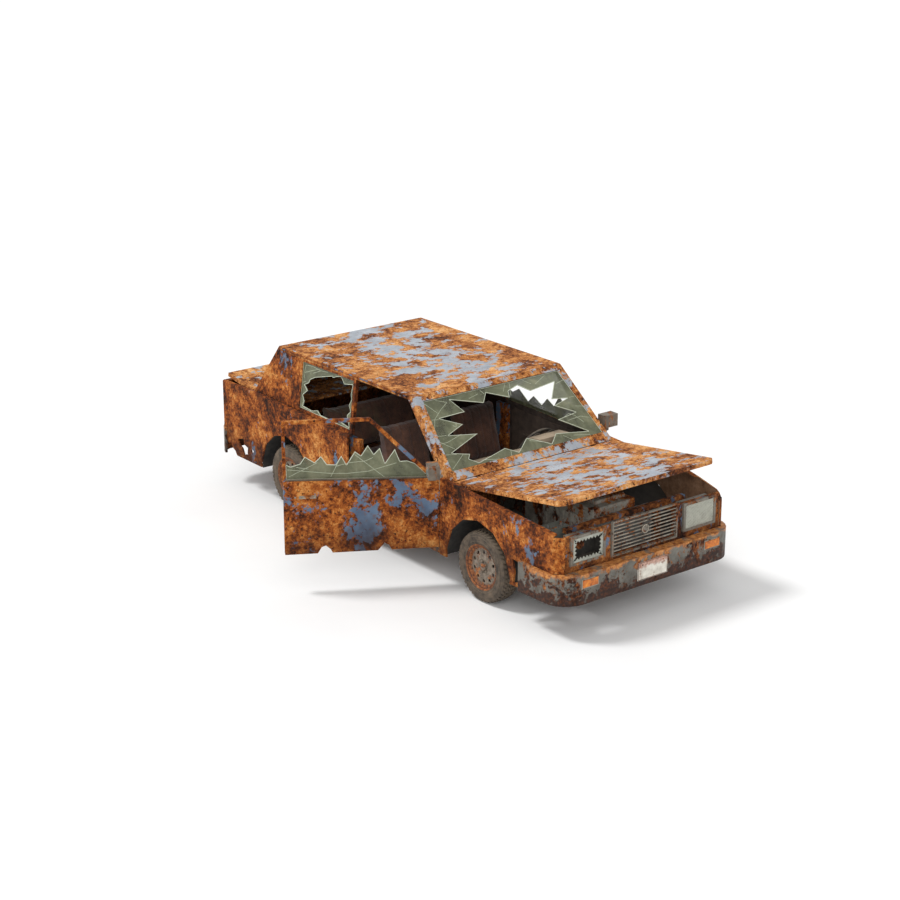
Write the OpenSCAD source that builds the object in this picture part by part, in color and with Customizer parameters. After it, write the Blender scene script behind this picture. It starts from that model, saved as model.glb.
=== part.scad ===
// Abandoned two-door saloon car, rusted through, built up from its real panels.
// The front faces -Y, the left side is +X, and the origin is on the ground midway between the axles.

/* [Overall] */
// Width over the body sides
body_w = 1744; // [1500:4:2000]
// Distance between the front and rear axle
wheelbase = 2616; // [2300:4:3000]
// Front axle to the front face of the nose
front_overhang = 926; // [860:2:1120]
// Rear axle to the rear face of the tail
rear_overhang = 1008; // [900:2:1200]
// Height of the roof over the ground
roof_h = 1414; // [1300:2:1600]

/* [Body] */
// Height of the belt line at the windshield
belt_front_h = 885; // [850:1:920]
// Height of the belt line at the rear window
belt_rear_h = 955; // [925:1:990]
// Height of the fender top at the nose
nose_h = 822; // [800:1:850]
// Height of the rear deck at the tail
tail_h = 943; // [900:1:955]
// Underside of the sills and lower panel edges
sill_h = 262; // [230:1:290]
// Width across the roof panel
roof_w = 1530; // [1300:2:1700]
// Width across the cabin at the belt line
cabin_w = 1664; // [1400:2:1800]
// Thickness of a single body panel with its edge flange
panel_t = 14; // [8:1:20]
// Thickness of a cabin wall above the belt line
cabin_t = 30; // [20:1:40]
// Thickness of the roof panel with its lining
roof_t = 35; // [25:1:50]
// Length of the sloping windshield plane seen from the side
windshield_run = 584; // [480:2:700]
// Length of the sloping rear window plane seen from the side
backlight_run = 315; // [250:2:450]
// Front axle to the foot of the windshield plane
cowl_setback = 348; // [330:1:400]
// Rear axle to the foot of the rear window plane
deck_setback = 531; // [500:1:560]

/* [Doors] */
// Thickness of a whole door below the belt line
door_t = 60; // [45:1:80]
// Length of a door skin
door_l = 1204; // [1050:2:1240]
// Lower edge of the doors
door_bottom_h = 320; // [300:1:360]
// Angle at which the right door stands open
door_open = 60; // [0:1:66]
// Width of the window frame bars
frame_bar = 26; // [18:1:36]
// Running gap round a moving panel
shut_gap = 8; // [6:1:14]
// Radius of a hinge pin
pin_r = 4; // [3:0.5:5]

/* [Lids] */
// Thickness of the hood and trunk lid rims
lid_t = 36; // [26:1:42]
// Thickness of the hood skin
skin_t = 12; // [8:1:16]
// Length of the hood
hood_l = 1208; // [1100:2:1240]
// Angle at which the hood stands open
hood_ajar = 11; // [0:0.5:40]
// Angle at which the trunk lid stands open
trunk_ajar = 10; // [0:0.5:40]

/* [Wheels] */
// Outer radius of a tyre
tyre_r = 288; // [270:1:310]
// Width of a tyre
tyre_w = 172; // [150:1:190]
// Radius of the rim at the tyre's bead
rim_r = 170; // [160:1:190]
// Distance between the outer faces of two wheels
track_w = 1688; // [1500:2:1710]
// Radius of the wheel arches
arch_r = 392; // [370:1:410]
// Radius of the wheel spindles
spindle_r = 17; // [12:1:22]
// Distance of the steering axes from the middle of the car
kingpin_x = 640; // [560:1:650]
// Radius of the holes in the towing lugs
towing_r = 15; // [10:1:18]
// Radial clearance of a running fit
fit_gap = 0.06; // [0.02:0.01:0.1]

/* [Bumpers and lights] */
// Height of a bumper
bumper_h = 236; // [180:2:260]
// Lower edge of the bumpers
bumper_z = 281; // [250:1:300]
// How far a bumper stands out from the body
bumper_out = 87; // [60:1:120]
// Thickness of a bumper's wall
bumper_t = 40; // [20:1:60]
// How far a bumper stands out beside the body
bumper_side = 28; // [24:1:40]
// Outer radius of a bumper's rounded corners
bumper_r = 200; // [160:5:205]
// Distance between the two headlights
light_gap = 804; // [760:2:860]
// Width of a headlight frame
light_w = 345; // [300:1:370]
// Height of a headlight frame
light_h = 230; // [180:1:240]
// Number of grille slats
slats = 9; // [5:1:12]

/* [Cabin] */
// Height of the cabin floor's upper face
floor_h = 300; // [290:1:310]
// Height of the trunk floor's upper face over the rear axle
trunk_floor_h = 436; // [420:1:460]
// Width of a front seat
seat_w = 500; // [420:2:540]
// Radius of the steering wheel
wheel_r = 190; // [160:1:210]

/* [Hidden] */
$fn = 48;

side_x = body_w/2;
front_axle_y = -wheelbase/2;
rear_axle_y = wheelbase/2;
nose_y = front_axle_y - front_overhang;
tail_y = rear_axle_y + rear_overhang;
cowl_y = front_axle_y + cowl_setback;
deck_y = rear_axle_y + deck_setback;
roof_front_y = cowl_y + windshield_run;
roof_rear_y = deck_y - backlight_run;
roof_under = roof_h - roof_t;
lean = (cabin_w - roof_w)/2/(roof_h - belt_front_h);
cowl_h = belt_front_h + 2;
ws_angle = atan2(roof_h - cowl_h, windshield_run);
ws_len = norm([roof_h - cowl_h, windshield_run]);
bl_angle = atan2(roof_h - belt_rear_h, backlight_run);
bl_len = norm([roof_h - belt_rear_h, backlight_run]);
hinge_x = side_x - 10;
door_front_y = cowl_y + 135;
hinge_y = door_front_y - 5;
door_rear_y = door_front_y + door_l;
fender_rear_y = hinge_y - 14;
quarter_front_y = door_rear_y + shut_gap;
hood_rear_y = cowl_y - shut_gap;
hood_pivot = [hood_rear_y - 9, cowl_h - 8];
trunk_front_y = deck_y + shut_gap;
trunk_pivot = [trunk_front_y + 9, belt_rear_h - 8];
trunk_rear_y = tail_y - 46;
lid_x = side_x - 46;
tub_x = 490;
rail_x = 400;
rail_w = 60;
pillar_y = door_rear_y - 70;
sill_top = door_bottom_h - shut_gap;
seat_gap = 0.3;
door_inner_x = side_x - door_t;
post_x = door_inner_x - shut_gap;
frame_t = 26;
glass_t = 5;
light_x = light_gap/2;
light_z = 560;
driver_x = 375;
firewall_y = front_axle_y + arch_r - 2 + seat_gap;
kick_y = rear_axle_y - 250;
sheet_t = 18;
tunnel_x = 120;
tunnel_h = floor_h + 130;
pinion_l = 130;
bar_x1 = 615;
bar_h = nose_h - 60;
window_post = 34;
window_back_y = rear_axle_y - 148;
towing_z = bumper_z - towing_r - 16;
gearbox_h = 350;
member_h = 90;
wheel_x = track_w/2;
column_tilt = 25;
steer_hub = [driver_x, cowl_y + 430, 800];

// Heights of the belt, fender and deck lines at a place along the car
function line_h(y, y0, h0, y1, h1) = h0 + (h1 - h0)*(y - y0)/(y1 - y0);
function belt_h(y) = line_h(y, cowl_y, belt_front_h, deck_y, belt_rear_h);
function fender_h(y) = line_h(y, cowl_y, cowl_h, nose_y, nose_h);
function deck_h(y) = line_h(y, deck_y, belt_rear_h, tail_y, tail_h);
// Half width of the cabin's outer face at a height
function cabin_x(z) = roof_w/2 + (roof_h - z)*lean;
// Depth of the sloping windshield frame's underside at a place along the car
function ws_under(y) = cowl_h + (y - cowl_y)*tan(ws_angle) - 25/cos(ws_angle);

// Points of a windshield shape given as shares: across the half width, and up from the foot
function pane_points(shares, foot_x, top_x, y0, y1) =
  [for (s = shares) [s[0]*(foot_x + (top_x - foot_x)*s[1]), y0 + (y1 - y0)*s[1]]];

// Outline in the YZ plane, extruded along X from x0 to x1
module side_plate(x0, x1, points) {
  translate([x0, 0, 0])
    rotate([90, 0, 90])
      linear_extrude(x1 - x0)
        polygon(points);
}

// Outline in the XY plane, extruded upward from z0 to z1
module flat_plate(z0, z1, points) {
  translate([0, 0, z0])
    linear_extrude(z1 - z0)
      polygon(points);
}

// Box between two opposite corners
module block(from, to) {
  translate(from)
    cube(to - from);
}

module both_sides() {
  children();
  mirror([1, 0, 0])
    children();
}

// Round bar along X
module bar_x(x0, x1, y, z, r) {
  translate([x0, y, z])
    rotate([0, 90, 0])
      cylinder(r = r, h = x1 - x0);
}

// Round bar along Y
module bar_y(y0, y1, x, z, r) {
  translate([x, y0, z])
    rotate([-90, 0, 0])
      cylinder(r = r, h = y1 - y0);
}

// Space that a wheel turns in, with the flat sided arch of a pressed panel
module arch_space(y, r, x0, x1) {
  points = [for (a = [-50 : 28 : 230]) [y + r*cos(a), tyre_r + r*sin(a)]];
  side_plate(x0, x1, points);
}

// Leaning cabin wall of one side, as thick as t, measured inward from gap inside the outer face
module cabin_wall(gap, t, z0) {
  top = cabin_x(roof_h) - gap;
  foot = cabin_x(z0) - gap;
  translate([0, roof_rear_y + 900, 0])
    rotate([90, 0, 0])
      linear_extrude(wheelbase + 1600)
        polygon([[foot - t, z0], [foot, z0], [top, roof_h], [top - t, roof_h]]);
}

module on_windshield() {
  translate([0, cowl_y, cowl_h])
    rotate([ws_angle, 0, 0])
      children();
}

module on_backlight() {
  translate([0, deck_y, belt_rear_h])
    rotate([0, 0, 180])
      rotate([bl_angle, 0, 0])
        children();
}

// Symmetric outline from half widths at a foot and a top
module taper(foot_x, top_x, y0, y1) {
  polygon([[-foot_x, y0], [foot_x, y0], [top_x, y1], [-top_x, y1]]);
}

// Lug from a height down under the end of a chassis leg, and the hole in it that takes a towing shackle
module towing_lug(y, top) {
  x = rail_x + rail_w/2;
  block([x - 9, y - 30, towing_z - towing_r - 13], [x + 9, y + 30, top + 1]);
}

module towing_hole(y) {
  x = rail_x + rail_w/2;
  bar_x(x - 20, x + 20, y, towing_z, towing_r);
}

// Cabin floor with its tunnel and the sills
module floor_pan() {
  end_y = kick_y - seat_gap;
  color("saddlebrown")
    difference() {
      union() {
        block([-post_x, firewall_y, floor_h - sheet_t], [post_x, end_y, floor_h]);
        block([-tunnel_x, firewall_y + 22, floor_h - sheet_t], [tunnel_x, end_y, tunnel_h]);
        both_sides()
          block([post_x - 16, fender_rear_y, sill_h], [side_x - panel_t - 1, quarter_front_y, sill_top]);
      }
      block([-tunnel_x + sheet_t, firewall_y - 1, 0], [tunnel_x - sheet_t, kick_y, tunnel_h - sheet_t]);
      rear_arch_cuts();
    }
}

// Raised floor behind the rear seat with the step up to it, notched over the drive shaft
module trunk_floor() {
  color("saddlebrown")
    difference() {
      union() {
        block([-tub_x + 4, kick_y, floor_h - sheet_t], [tub_x - 4, kick_y + sheet_t, trunk_floor_h]);
        block([-post_x, kick_y, trunk_floor_h - sheet_t], [post_x, tail_y - 40, trunk_floor_h]);
      }
      block([-tunnel_x + sheet_t, kick_y - 1, 0],
        [tunnel_x - sheet_t, kick_y + sheet_t + 1, tunnel_h - sheet_t]);
      rear_arch_cuts();
    }
}

module rear_arch_cuts() {
  both_sides()
    block([tub_x - 4, rear_axle_y - arch_r - 4, 0],
      [side_x, rear_axle_y + arch_r + 4, trunk_floor_h + 60]);
}

// Legs under the front and rear floors, each front one running on under the cabin, with the towing lugs
module chassis_legs() {
  x0 = rail_x;
  x1 = rail_x + rail_w;
  floor_under = floor_h - sheet_t;
  wall_y = firewall_y - seat_gap;
  color("saddlebrown")
    both_sides()
      difference() {
        union() {
          block([x0, nose_y + 60, floor_under], [x1, wall_y, floor_h + member_h]);
          block([x0, wall_y - 100, sill_h], [x1, wall_y, floor_h]);
          block([x0, wall_y - 4, sill_h], [x1, kick_y, floor_under - seat_gap]);
          block([x0, kick_y + sheet_t + seat_gap, trunk_floor_h - 73],
            [x1, tail_y - 40, trunk_floor_h - sheet_t - seat_gap]);
          towing_lug(nose_y + 90, floor_under);
          towing_lug(tail_y - 90, trunk_floor_h - 73);
        }
        towing_hole(nose_y + 90);
        towing_hole(tail_y - 90);
      }
}

// Pin along X that a lid turns on, at the end of a plate with the given outline
module lid_bracket(x, pivot, points) {
  side_plate(x - 5, x + 5, points);
  bar_x(x - 44, x + 44, pivot[0], pivot[1], pin_r + 1);
}

module firewall() {
  y = firewall_y;
  p = hood_pivot;
  wall_x = post_x - 40 - seat_gap;
  color("saddlebrown") {
    difference() {
      side_plate(-wall_x, wall_x,
        [[y, floor_h], [y, ws_under(y) - seat_gap], [y + 20, ws_under(y + 20) - seat_gap],
         [y + 20, floor_h]]);
      block([-102, y - 1, floor_h - 1], [102, y + 21, floor_h + 112]);
    }
    both_sides()
      lid_bracket(600, p,
        [[p[0] - 7, p[1] - 30], [p[0] - 7, p[1] + 4], [p[0] + 5, p[1] + 4], [p[0] + 7, p[1] - 14],
         [y + 4, p[1] - 29], [y + 4, p[1] - 51]]);
  }
}

module front_fender() {
  top_in = side_x - 40;
  h0 = fender_h(fender_rear_y);
  difference() {
    union() {
      side_plate(side_x - panel_t, side_x,
        [[nose_y + 60, bumper_z + 20], [nose_y + 60, fender_h(nose_y + 60)], [fender_rear_y, h0],
         [fender_rear_y, sill_h], [front_axle_y + arch_r - 20, sill_h]]);
      side_plate(top_in, side_x,
        [[nose_y + 60, fender_h(nose_y + 60) - panel_t], [nose_y + 60, fender_h(nose_y + 60)],
         [fender_rear_y, h0], [fender_rear_y, h0 - panel_t]]);
      flat_plate(light_z - 40, nose_h - 22,
        [[side_x, nose_y + 60], [side_x - 60, nose_y], [side_x - 60, nose_y + panel_t + 6],
         [side_x - panel_t, nose_y + 66]]);
      block([side_x - 75, nose_y + 6, light_z - 40], [side_x - 60, nose_y + panel_t + 6, nose_h - 22]);
    }
    arch_space(front_axle_y, arch_r, side_x - 100, side_x + 1);
  }
}

module fender_right() {
  color("peru")
    mirror([1, 0, 0])
      difference() {
        front_fender();
        side_plate(side_x - 30, side_x + 1,
          [[front_axle_y - 412, 500], [front_axle_y - 478, 494], [front_axle_y - 486, 410],
           [front_axle_y - 480, 325], [front_axle_y - 428, 310], [front_axle_y - 440, 400]]);
      }
}

// The front corner is rusted away in a curve
module fender_left() {
  y = nose_y;
  color("peru")
    difference() {
      front_fender();
      side_plate(side_x - 100, side_x + 1,
        [[y - 1, 722], [y + 68, 724], [y + 84, 752], [y + 115, 774], [y + 193, 794], [y + 303, 821],
         [y + 420, fender_h(y + 420) + 1], [y - 1, nose_h + 30]]);
    }
}

// Half barrel over a wheel, closed on its inner side
module wheel_tub(y, inner_x, outer_x) {
  r = arch_r - 2;
  difference() {
    arch_half(y, r, inner_x, outer_x);
    arch_half(y, r - 6, inner_x + 6, outer_x + 1);
  }
}

module arch_half(y, r, x0, x1) {
  intersection() {
    bar_x(x0, x1, y, tyre_r, r);
    block([x0, y - r - 1, floor_h - 18], [x1, y + r + 1, tyre_r + r + 1]);
  }
}

module front_wheel_tubs() {
  top = tyre_r + arch_r - 10;
  color("dimgray")
    both_sides()
      difference() {
        union() {
          wheel_tub(front_axle_y, tub_x, side_x - panel_t - seat_gap);
          translate([kingpin_x, front_axle_y, top])
            cylinder(r = 50, h = 40);
        }
        translate([kingpin_x, front_axle_y, top - 20])
          cylinder(r = 14 + fit_gap, h = 80);
      }
}

module rear_wheel_tubs() {
  slot_h = trunk_floor_h - sheet_t;
  color("dimgray")
    both_sides()
      difference() {
        wheel_tub(rear_axle_y, tub_x, side_x - panel_t - seat_gap);
        block([tub_x - 1, rear_axle_y - 150, 0], [tub_x + 8, rear_axle_y + 150, slot_h]);
      }
}

// Lower side wall, its ledge at the belt line and the leaning wall with the side window
module quarter() {
  y0 = quarter_front_y;
  y1 = tail_y - 40;
  window_y = quarter_front_y;
  difference() {
    union() {
      side_plate(side_x - panel_t, side_x,
        [[y0, sill_h], [y0, belt_h(y0)], [deck_y, belt_rear_h], [y1, deck_h(y1)], [y1, 330],
         [y1 - 60, 292], [rear_axle_y + arch_r - 20, 290], [rear_axle_y, 300],
         [rear_axle_y - arch_r + 20, sill_h]]);
      side_plate(side_x - 40, side_x,
        [[y0, belt_h(y0) - panel_t], [y0, belt_h(y0)], [deck_y, belt_rear_h], [y1, deck_h(y1)],
         [y1, deck_h(y1) - panel_t], [deck_y, belt_rear_h - panel_t]]);
    }
    arch_space(rear_axle_y, arch_r, side_x - 100, side_x + 1);
  }
  intersection() {
    cabin_wall(0, cabin_t, belt_front_h);
    difference() {
      side_plate(0, side_x,
        [[window_y, belt_h(window_y)], [window_y, roof_under - seat_gap],
         [roof_rear_y + roof_t/tan(bl_angle), roof_under - seat_gap], [deck_y, belt_rear_h]]);
      side_plate(-1, side_x + 1,
        [[window_y + window_post, belt_h(window_y) + 28], [window_y + window_post, roof_under - 18],
         [window_back_y, roof_under - 18], [window_back_y, belt_h(window_back_y) + 25]]);
    }
  }
}

// Rust holes along the lower edge behind the right rear wheel
module quarter_right() {
  y = rear_axle_y;
  color("peru")
    mirror([1, 0, 0])
      difference() {
        quarter();
        side_plate(side_x - 30, side_x + 1,
          [[y + 772, 445], [y + 735, 462], [y + 667, 480], [y + 662, 430], [y + 602, 410],
           [y + 610, 365], [y + 602, 330], [y + 640, 340], [y + 662, 320], [y + 697, 385], [y + 732, 400]]);
        side_plate(side_x - 30, side_x + 1,
          [[tail_y, 440], [y + 915, 375], [y + 882, 396], [y + 857, 350], [y + 812, 330],
           [y + 797, 306], [y + 770, 280], [tail_y, 270]]);
        side_plate(side_x - 30, side_x + 1,
          [[y + 552, 405], [y + 528, 418], [y + 510, 400], [y + 520, 384], [y + 547, 380]]);
      }
}

module quarter_left() {
  color("peru")
    quarter();
}

module roof() {
  under_x = cabin_x(roof_under);
  color("peru")
    intersection() {
      translate([0, roof_rear_y + 200, 0])
        rotate([90, 0, 0])
          linear_extrude(roof_rear_y - roof_front_y + 400)
            polygon([[-roof_w/2, roof_h], [roof_w/2, roof_h], [under_x, roof_under],
                     [-under_x, roof_under]]);
      side_plate(-side_x, side_x,
        [[roof_front_y + 22, roof_under], [roof_front_y + 22, roof_h], [roof_rear_y, roof_h],
         [roof_rear_y + roof_t/tan(bl_angle), roof_under]]);
    }
}

// Frame in the windshield's plane with the two leaning front pillars and the header under the roof
module windshield_frame() {
  foot = cabin_x(cowl_h);
  header_y = roof_front_y - roof_t/tan(ws_angle);
  color("peru") {
    on_windshield()
      translate([0, 0, -25])
        linear_extrude(25)
          difference() {
            taper(foot, roof_w/2, 0, ws_len);
            taper(foot - 42, roof_w/2 - 62, 86, ws_len - 54);
          }
    intersection() {
      side_plate(-side_x, side_x,
        [[header_y + 22, roof_under], [roof_front_y + 2, roof_h], [roof_front_y + 21, roof_h],
         [roof_front_y + 21, roof_under]]);
      block([3 - roof_w/2, header_y - 50, roof_under - 1], [roof_w/2 - 3, roof_front_y + 50, roof_h]);
    }
    both_sides()
      intersection() {
        cabin_wall(0, 34, belt_front_h);
        side_plate(0, side_x,
          [[cowl_y + 8, cowl_h], [header_y + 10, roof_under - seat_gap],
           [cowl_y + 650, roof_under - seat_gap],
           [cowl_y + 643, roof_under - 7], [cowl_y + 160, belt_front_h + 12],
           [door_front_y - shut_gap, belt_front_h + 12], [door_front_y - shut_gap, belt_front_h]]);
      }
  }
}

// Hinge posts and lock posts up to the belt line
module door_pillars() {
  hinge_z = [430, 760];
  color("slategray")
    both_sides() {
      block([post_x - 40, cowl_y + 50, sill_top], [post_x, door_front_y + 30, belt_front_h]);
      for (z = hinge_z) {
        for (dz = [-30, 22])
          block([post_x - 2, hinge_y - pin_r, z + dz], [hinge_x, hinge_y + pin_r, z + dz + 8]);
        translate([hinge_x, hinge_y, z - 30])
          cylinder(r = pin_r, h = 60);
      }
      block([post_x - 40, pillar_y, sill_top], [post_x, pillar_y + 140, belt_front_h]);
    }
}

// Frame round the rear window with the shelf behind the rear seat
module rear_deck() {
  foot = cabin_x(belt_rear_h) - cabin_t;
  top = roof_w/2 - cabin_t;
  shelf_y = deck_y - 420;
  p = trunk_pivot;
  color("peru") {
    on_backlight()
      translate([0, 0, -25])
        linear_extrude(25)
          difference() {
            taper(foot - seat_gap, top - seat_gap, 0, bl_len - 44);
            taper(foot - 60, top - 50, 60, bl_len - 95);
          }
    side_plate(-foot + seat_gap, foot - seat_gap,
      [[shelf_y, belt_rear_h - 60], [shelf_y, belt_rear_h - 45], [deck_y - 40, belt_rear_h - 25],
       [deck_y - 20, belt_rear_h - 7], [deck_y - 4, belt_rear_h - 2], [deck_y, belt_rear_h - 2],
       [deck_y, belt_rear_h - 40]]);
    both_sides()
      lid_bracket(560, p,
        [[deck_y - 4, p[1] - 12], [deck_y - 4, p[1] + 4], [p[0] + 6, p[1] + 4], [p[0] + 6, p[1] - 6],
         [p[0], p[1] - 12]]);
  }
}

module rear_panel() {
  y0 = tail_y - 40;
  color("peru")
    difference() {
      flat_plate(sill_h + 40, tail_h,
        [[-side_x, y0], [side_x, y0], [side_x, tail_y - 25], [side_x - 25, tail_y],
         [-side_x + 25, tail_y], [-side_x, tail_y - 25]]);
      both_sides()
        block([side_x - 330, tail_y - 20, 640], [side_x - 60, tail_y + 1, 860]);
    }
}

// Panel that carries the lights and grille, the radiator support behind it
module nose_panel() {
  y0 = nose_y + 20;
  bar_y0 = nose_y + 205;
  color("saddlebrown") {
    difference() {
      union() {
        block([-side_x + 76, y0, 500], [side_x - 76, y0 + panel_t, nose_h - 26]);
        block([-side_x + 76, y0, bumper_z + 40], [side_x - 76, y0 + panel_t, 510]);
      }
      both_sides()
        block([light_x + 18, y0 - 1, light_z + 15], [light_x + light_w - 18, y0 + 30, light_z + light_h - 15]);
      block([-300, y0 - 1, 555], [300, y0 + 30, 785]);
    }
    block([-bar_x1, bar_y0, bar_h - 36], [bar_x1, bar_y0 + 40, bar_h]);
    both_sides() {
      block([light_x - 17, y0 + 5, bar_h - 60], [light_x - 2, bar_y0 + 39, bar_h - 12]);
      block([330, bar_y0 + 1, floor_h + 60], [360, bar_y0 + 39, bar_h - 10]);
    }
    block([-rail_x + seat_gap, bar_y0, floor_h + 20], [rail_x - seat_gap, bar_y0 + 40, floor_h + 62]);
  }
}

module windshield() {
  foot = cabin_x(cowl_h) - 42.3;
  top = roof_w/2 - 62.3;
  y0 = 86.3;
  y1 = ws_len - 54.3;
  hole = [[-0.64, 0.95], [-0.52, 0.74], [-0.88, 0.73], [-0.62, 0.58], [-0.86, 0.48], [-0.5, 0.41],
          [-0.91, 0.24], [-0.7, 0.17], [-0.74, 0.11], [-0.64, 0.03], [-0.26, 0.13], [-0.12, 0.03],
          [0.06, 0.19], [0.32, 0.03], [0.44, 0.15], [0.85, 0.07], [0.58, 0.33], [0.86, 0.37],
          [0.65, 0.53], [0.88, 0.59], [0.67, 0.63], [0.86, 0.86], [0.47, 0.81], [0.35, 0.93],
          [0.18, 0.88], [0.15, 0.79], [-0.12, 0.93], [-0.22, 0.8]];
  color([0.55, 0.62, 0.55, 0.5])
    on_windshield()
      translate([0, 0, -16])
        linear_extrude(glass_t)
          difference() {
            taper(foot, top, y0, y1);
            polygon(pane_points(hole, foot, top, y0, y1));
          }
}

module rear_window() {
  foot = cabin_x(belt_rear_h) - cabin_t;
  top = roof_w/2 - cabin_t;
  color([0.55, 0.62, 0.55, 0.5])
    on_backlight()
      translate([0, 0, -16])
        linear_extrude(glass_t)
          taper(foot - 60.3, top - 50.3, 60.3, bl_len - 95.3);
}

// Side windows behind the doors, the right one broken
module quarter_pane(points) {
  intersection() {
    cabin_wall(12, glass_t, belt_front_h);
    side_plate(0, side_x, points);
  }
}

// The hole's points are shares of the pane: back from its front edge, and up from its foot
module quarter_glass() {
  y0 = quarter_front_y + window_post + seat_gap;
  y1 = window_back_y - seat_gap;
  z0 = belt_h(quarter_front_y) + 28 + seat_gap;
  z1 = belt_h(window_back_y) + 25 + seat_gap;
  z2 = roof_under - 18 - seat_gap;
  pane = [[y0, z0], [y0, z2], [y1, z2], [y1, z1]];
  hole = [[0.85, 0.66], [0.75, 0.75], [0.43, 0.91], [0.41, 0.89], [0.34, 0.94], [0.26, 0.97],
          [0.19, 0.85], [0.03, 0.9], [0.05, 0.7], [0.03, 0.6], [0.07, 0.47], [0.03, 0.36],
          [0.09, 0.26], [0.03, 0.03], [0.19, 0.07], [0.31, 0.02], [0.59, 0.02], [0.66, 0.09],
          [0.77, 0.03], [0.95, 0.05], [0.93, 0.16], [0.97, 0.28], [0.88, 0.41], [0.95, 0.51],
          [0.87, 0.58]];
  color([0.55, 0.62, 0.55, 0.5]) {
    quarter_pane(pane);
    mirror([1, 0, 0])
      difference() {
        quarter_pane(pane);
        side_plate(0, side_x,
          [for (s = hole) [y0 + (y1 - y0)*s[0], z0 + (z1 - z0)*s[0] + (z2 - z0 - (z1 - z0)*s[0])*s[1]]]);
      }
  }
}

module radiator() {
  y0 = nose_y + 245 + seat_gap;
  color("dimgray")
    block([-300, y0, floor_h + 20], [300, y0 + 50, bar_h - 20]);
}

module grille() {
  y0 = nose_y;
  z0 = 536;
  z1 = nose_h - 8;
  h = (z1 - z0 - 24)/slats;
  color("gray") {
    difference() {
      side_plate(-338, 338, [[y0, z0], [y0, z1], [y0 + 20, z1], [y0 + 20, z0]]);
      side_plate(-322, 322, [[y0 - 1, z0 + 12], [y0 - 1, z1 - 12], [y0 + 21, z1 - 12], [y0 + 21, z0 + 12]]);
    }
    for (i = [1 : slats - 1])
      block([-323, y0 + 5, z0 + 8 + i*h], [323, y0 + 17, z0 + 16 + i*h]);
    bar_y(y0 + 1, y0 + 10, 0, 686, 36);
  }
}

// Housing with its hollow bowl behind the frame
module headlight() {
  x0 = light_x;
  z0 = light_z;
  difference() {
    union() {
      block([x0, nose_y, z0], [x0 + light_w, nose_y + 20, z0 + light_h]);
      block([x0 + 19, nose_y + 19, z0 + 16], [x0 + light_w - 19, nose_y + 110, z0 + light_h - 16]);
    }
    block([x0 + 24, nose_y - 1, z0 + 21], [x0 + light_w - 24, nose_y + 104, z0 + light_h - 21]);
  }
}

module headlights() {
  color("gray") {
    headlight();
    block([light_x + 23, nose_y + 4, light_z + 20],
      [light_x + light_w - 23, nose_y + 12, light_z + light_h - 20]);
    mirror([1, 0, 0])
      headlight();
  }
}

module signal_lamps() {
  lamp_y = nose_y - bumper_out;
  color("orange")
    both_sides()
      block([554, lamp_y - 6, 414], [704, lamp_y, 472]);
  color("darkred")
    both_sides()
      block([side_x - 329.7, tail_y - 20, 640.3], [side_x - 60.3, tail_y + 8, 859.7]);
}

// Plan of a bumper with rounded corners, made smaller all round by its side and front walls
module bumper_plan(far_y, side_in, front_in) {
  x = side_x + bumper_side;
  corner = [for (a = [0 : 15 : 90])
    [x - bumper_r + (bumper_r - side_in)*cos(a), bumper_r - bumper_out - (bumper_r - front_in)*sin(a)]];
  half = concat([[x - side_in, far_y]], corner);
  polygon(concat(half, [for (i = [len(half) - 1 : -1 : 0]) [-half[i][0], half[i][1]]]));
}

// Wraps round the corners of the body, which are cut off at 45 degrees over a given length
module bumper(reach, body_cut) {
  x = side_x + seat_gap;
  far_y = reach + bumper_r;
  difference() {
    linear_extrude(bumper_h)
      bumper_plan(far_y, 0, 0);
    translate([0, 0, -1])
      linear_extrude(bumper_h - 23)
        bumper_plan(far_y + 1, bumper_side - seat_gap, bumper_t);
    flat_plate(-1, bumper_h + 1,
      [[-x, far_y + 1], [-x, body_cut - seat_gap], [body_cut - x, -seat_gap], [x - body_cut, -seat_gap],
       [x, body_cut - seat_gap], [x, far_y + 1]]);
    block([-2*x, reach, -1], [2*x, far_y + 1, bumper_h + 1]);
  }
}

module front_bumper() {
  color("dimgray")
    translate([0, nose_y, bumper_z]) {
      bumper(front_overhang - arch_r - 120, 60);
      both_sides()
        block([rail_x + 4, -50, 60], [rail_x + rail_w - 4, 20 - seat_gap, 110]);
    }
}

module rear_bumper() {
  color("dimgray")
    translate([0, tail_y, bumper_z])
      rotate([0, 0, 180]) {
        bumper(66, 25);
        both_sides()
          block([rail_x + 4, -50, 60], [rail_x + rail_w - 4, -seat_gap, 110]);
      }
}

module number_plates() {
  color("white") {
    translate([0, nose_y - bumper_out, 0])
      block([-153, -4, 328], [153, 0, 470]);
    translate([0, tail_y, 0])
      block([-153, 0, 660], [153, 4, 802]);
  }
}

module engine() {
  y0 = front_axle_y - 575;
  y1 = cowl_y - 60;
  color("gray") {
    block([-215, y0, 330], [215, front_axle_y, 785]);
    block([-125, y0 + 70, 785], [175, front_axle_y - 60, 812]);
    block([-150, front_axle_y, 330], [150, y1, 620]);
    block([-95, y1, 310], [95, firewall_y - 6, 560]);
    both_sides()
      block([200, front_axle_y - 160, floor_h + member_h + seat_gap],
        [rail_x + rail_w - 5, front_axle_y - 80, floor_h + 140]);
  }
}

module battery() {
  y0 = nose_y + 290;
  color("dimgray") {
    block([-700, y0, 560], [-500, y0 + 130, 745]);
    block([-720, y0 - 45, 545], [-480, y0 + 140, 560]);
    block([-500, y0 - 44, floor_h + member_h + seat_gap], [-480, y0 + 100, 546]);
    block([-500, y0 - 44, floor_h + member_h + seat_gap], [-rail_x - 5, y0 + 100, floor_h + 105]);
  }
}

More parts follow.
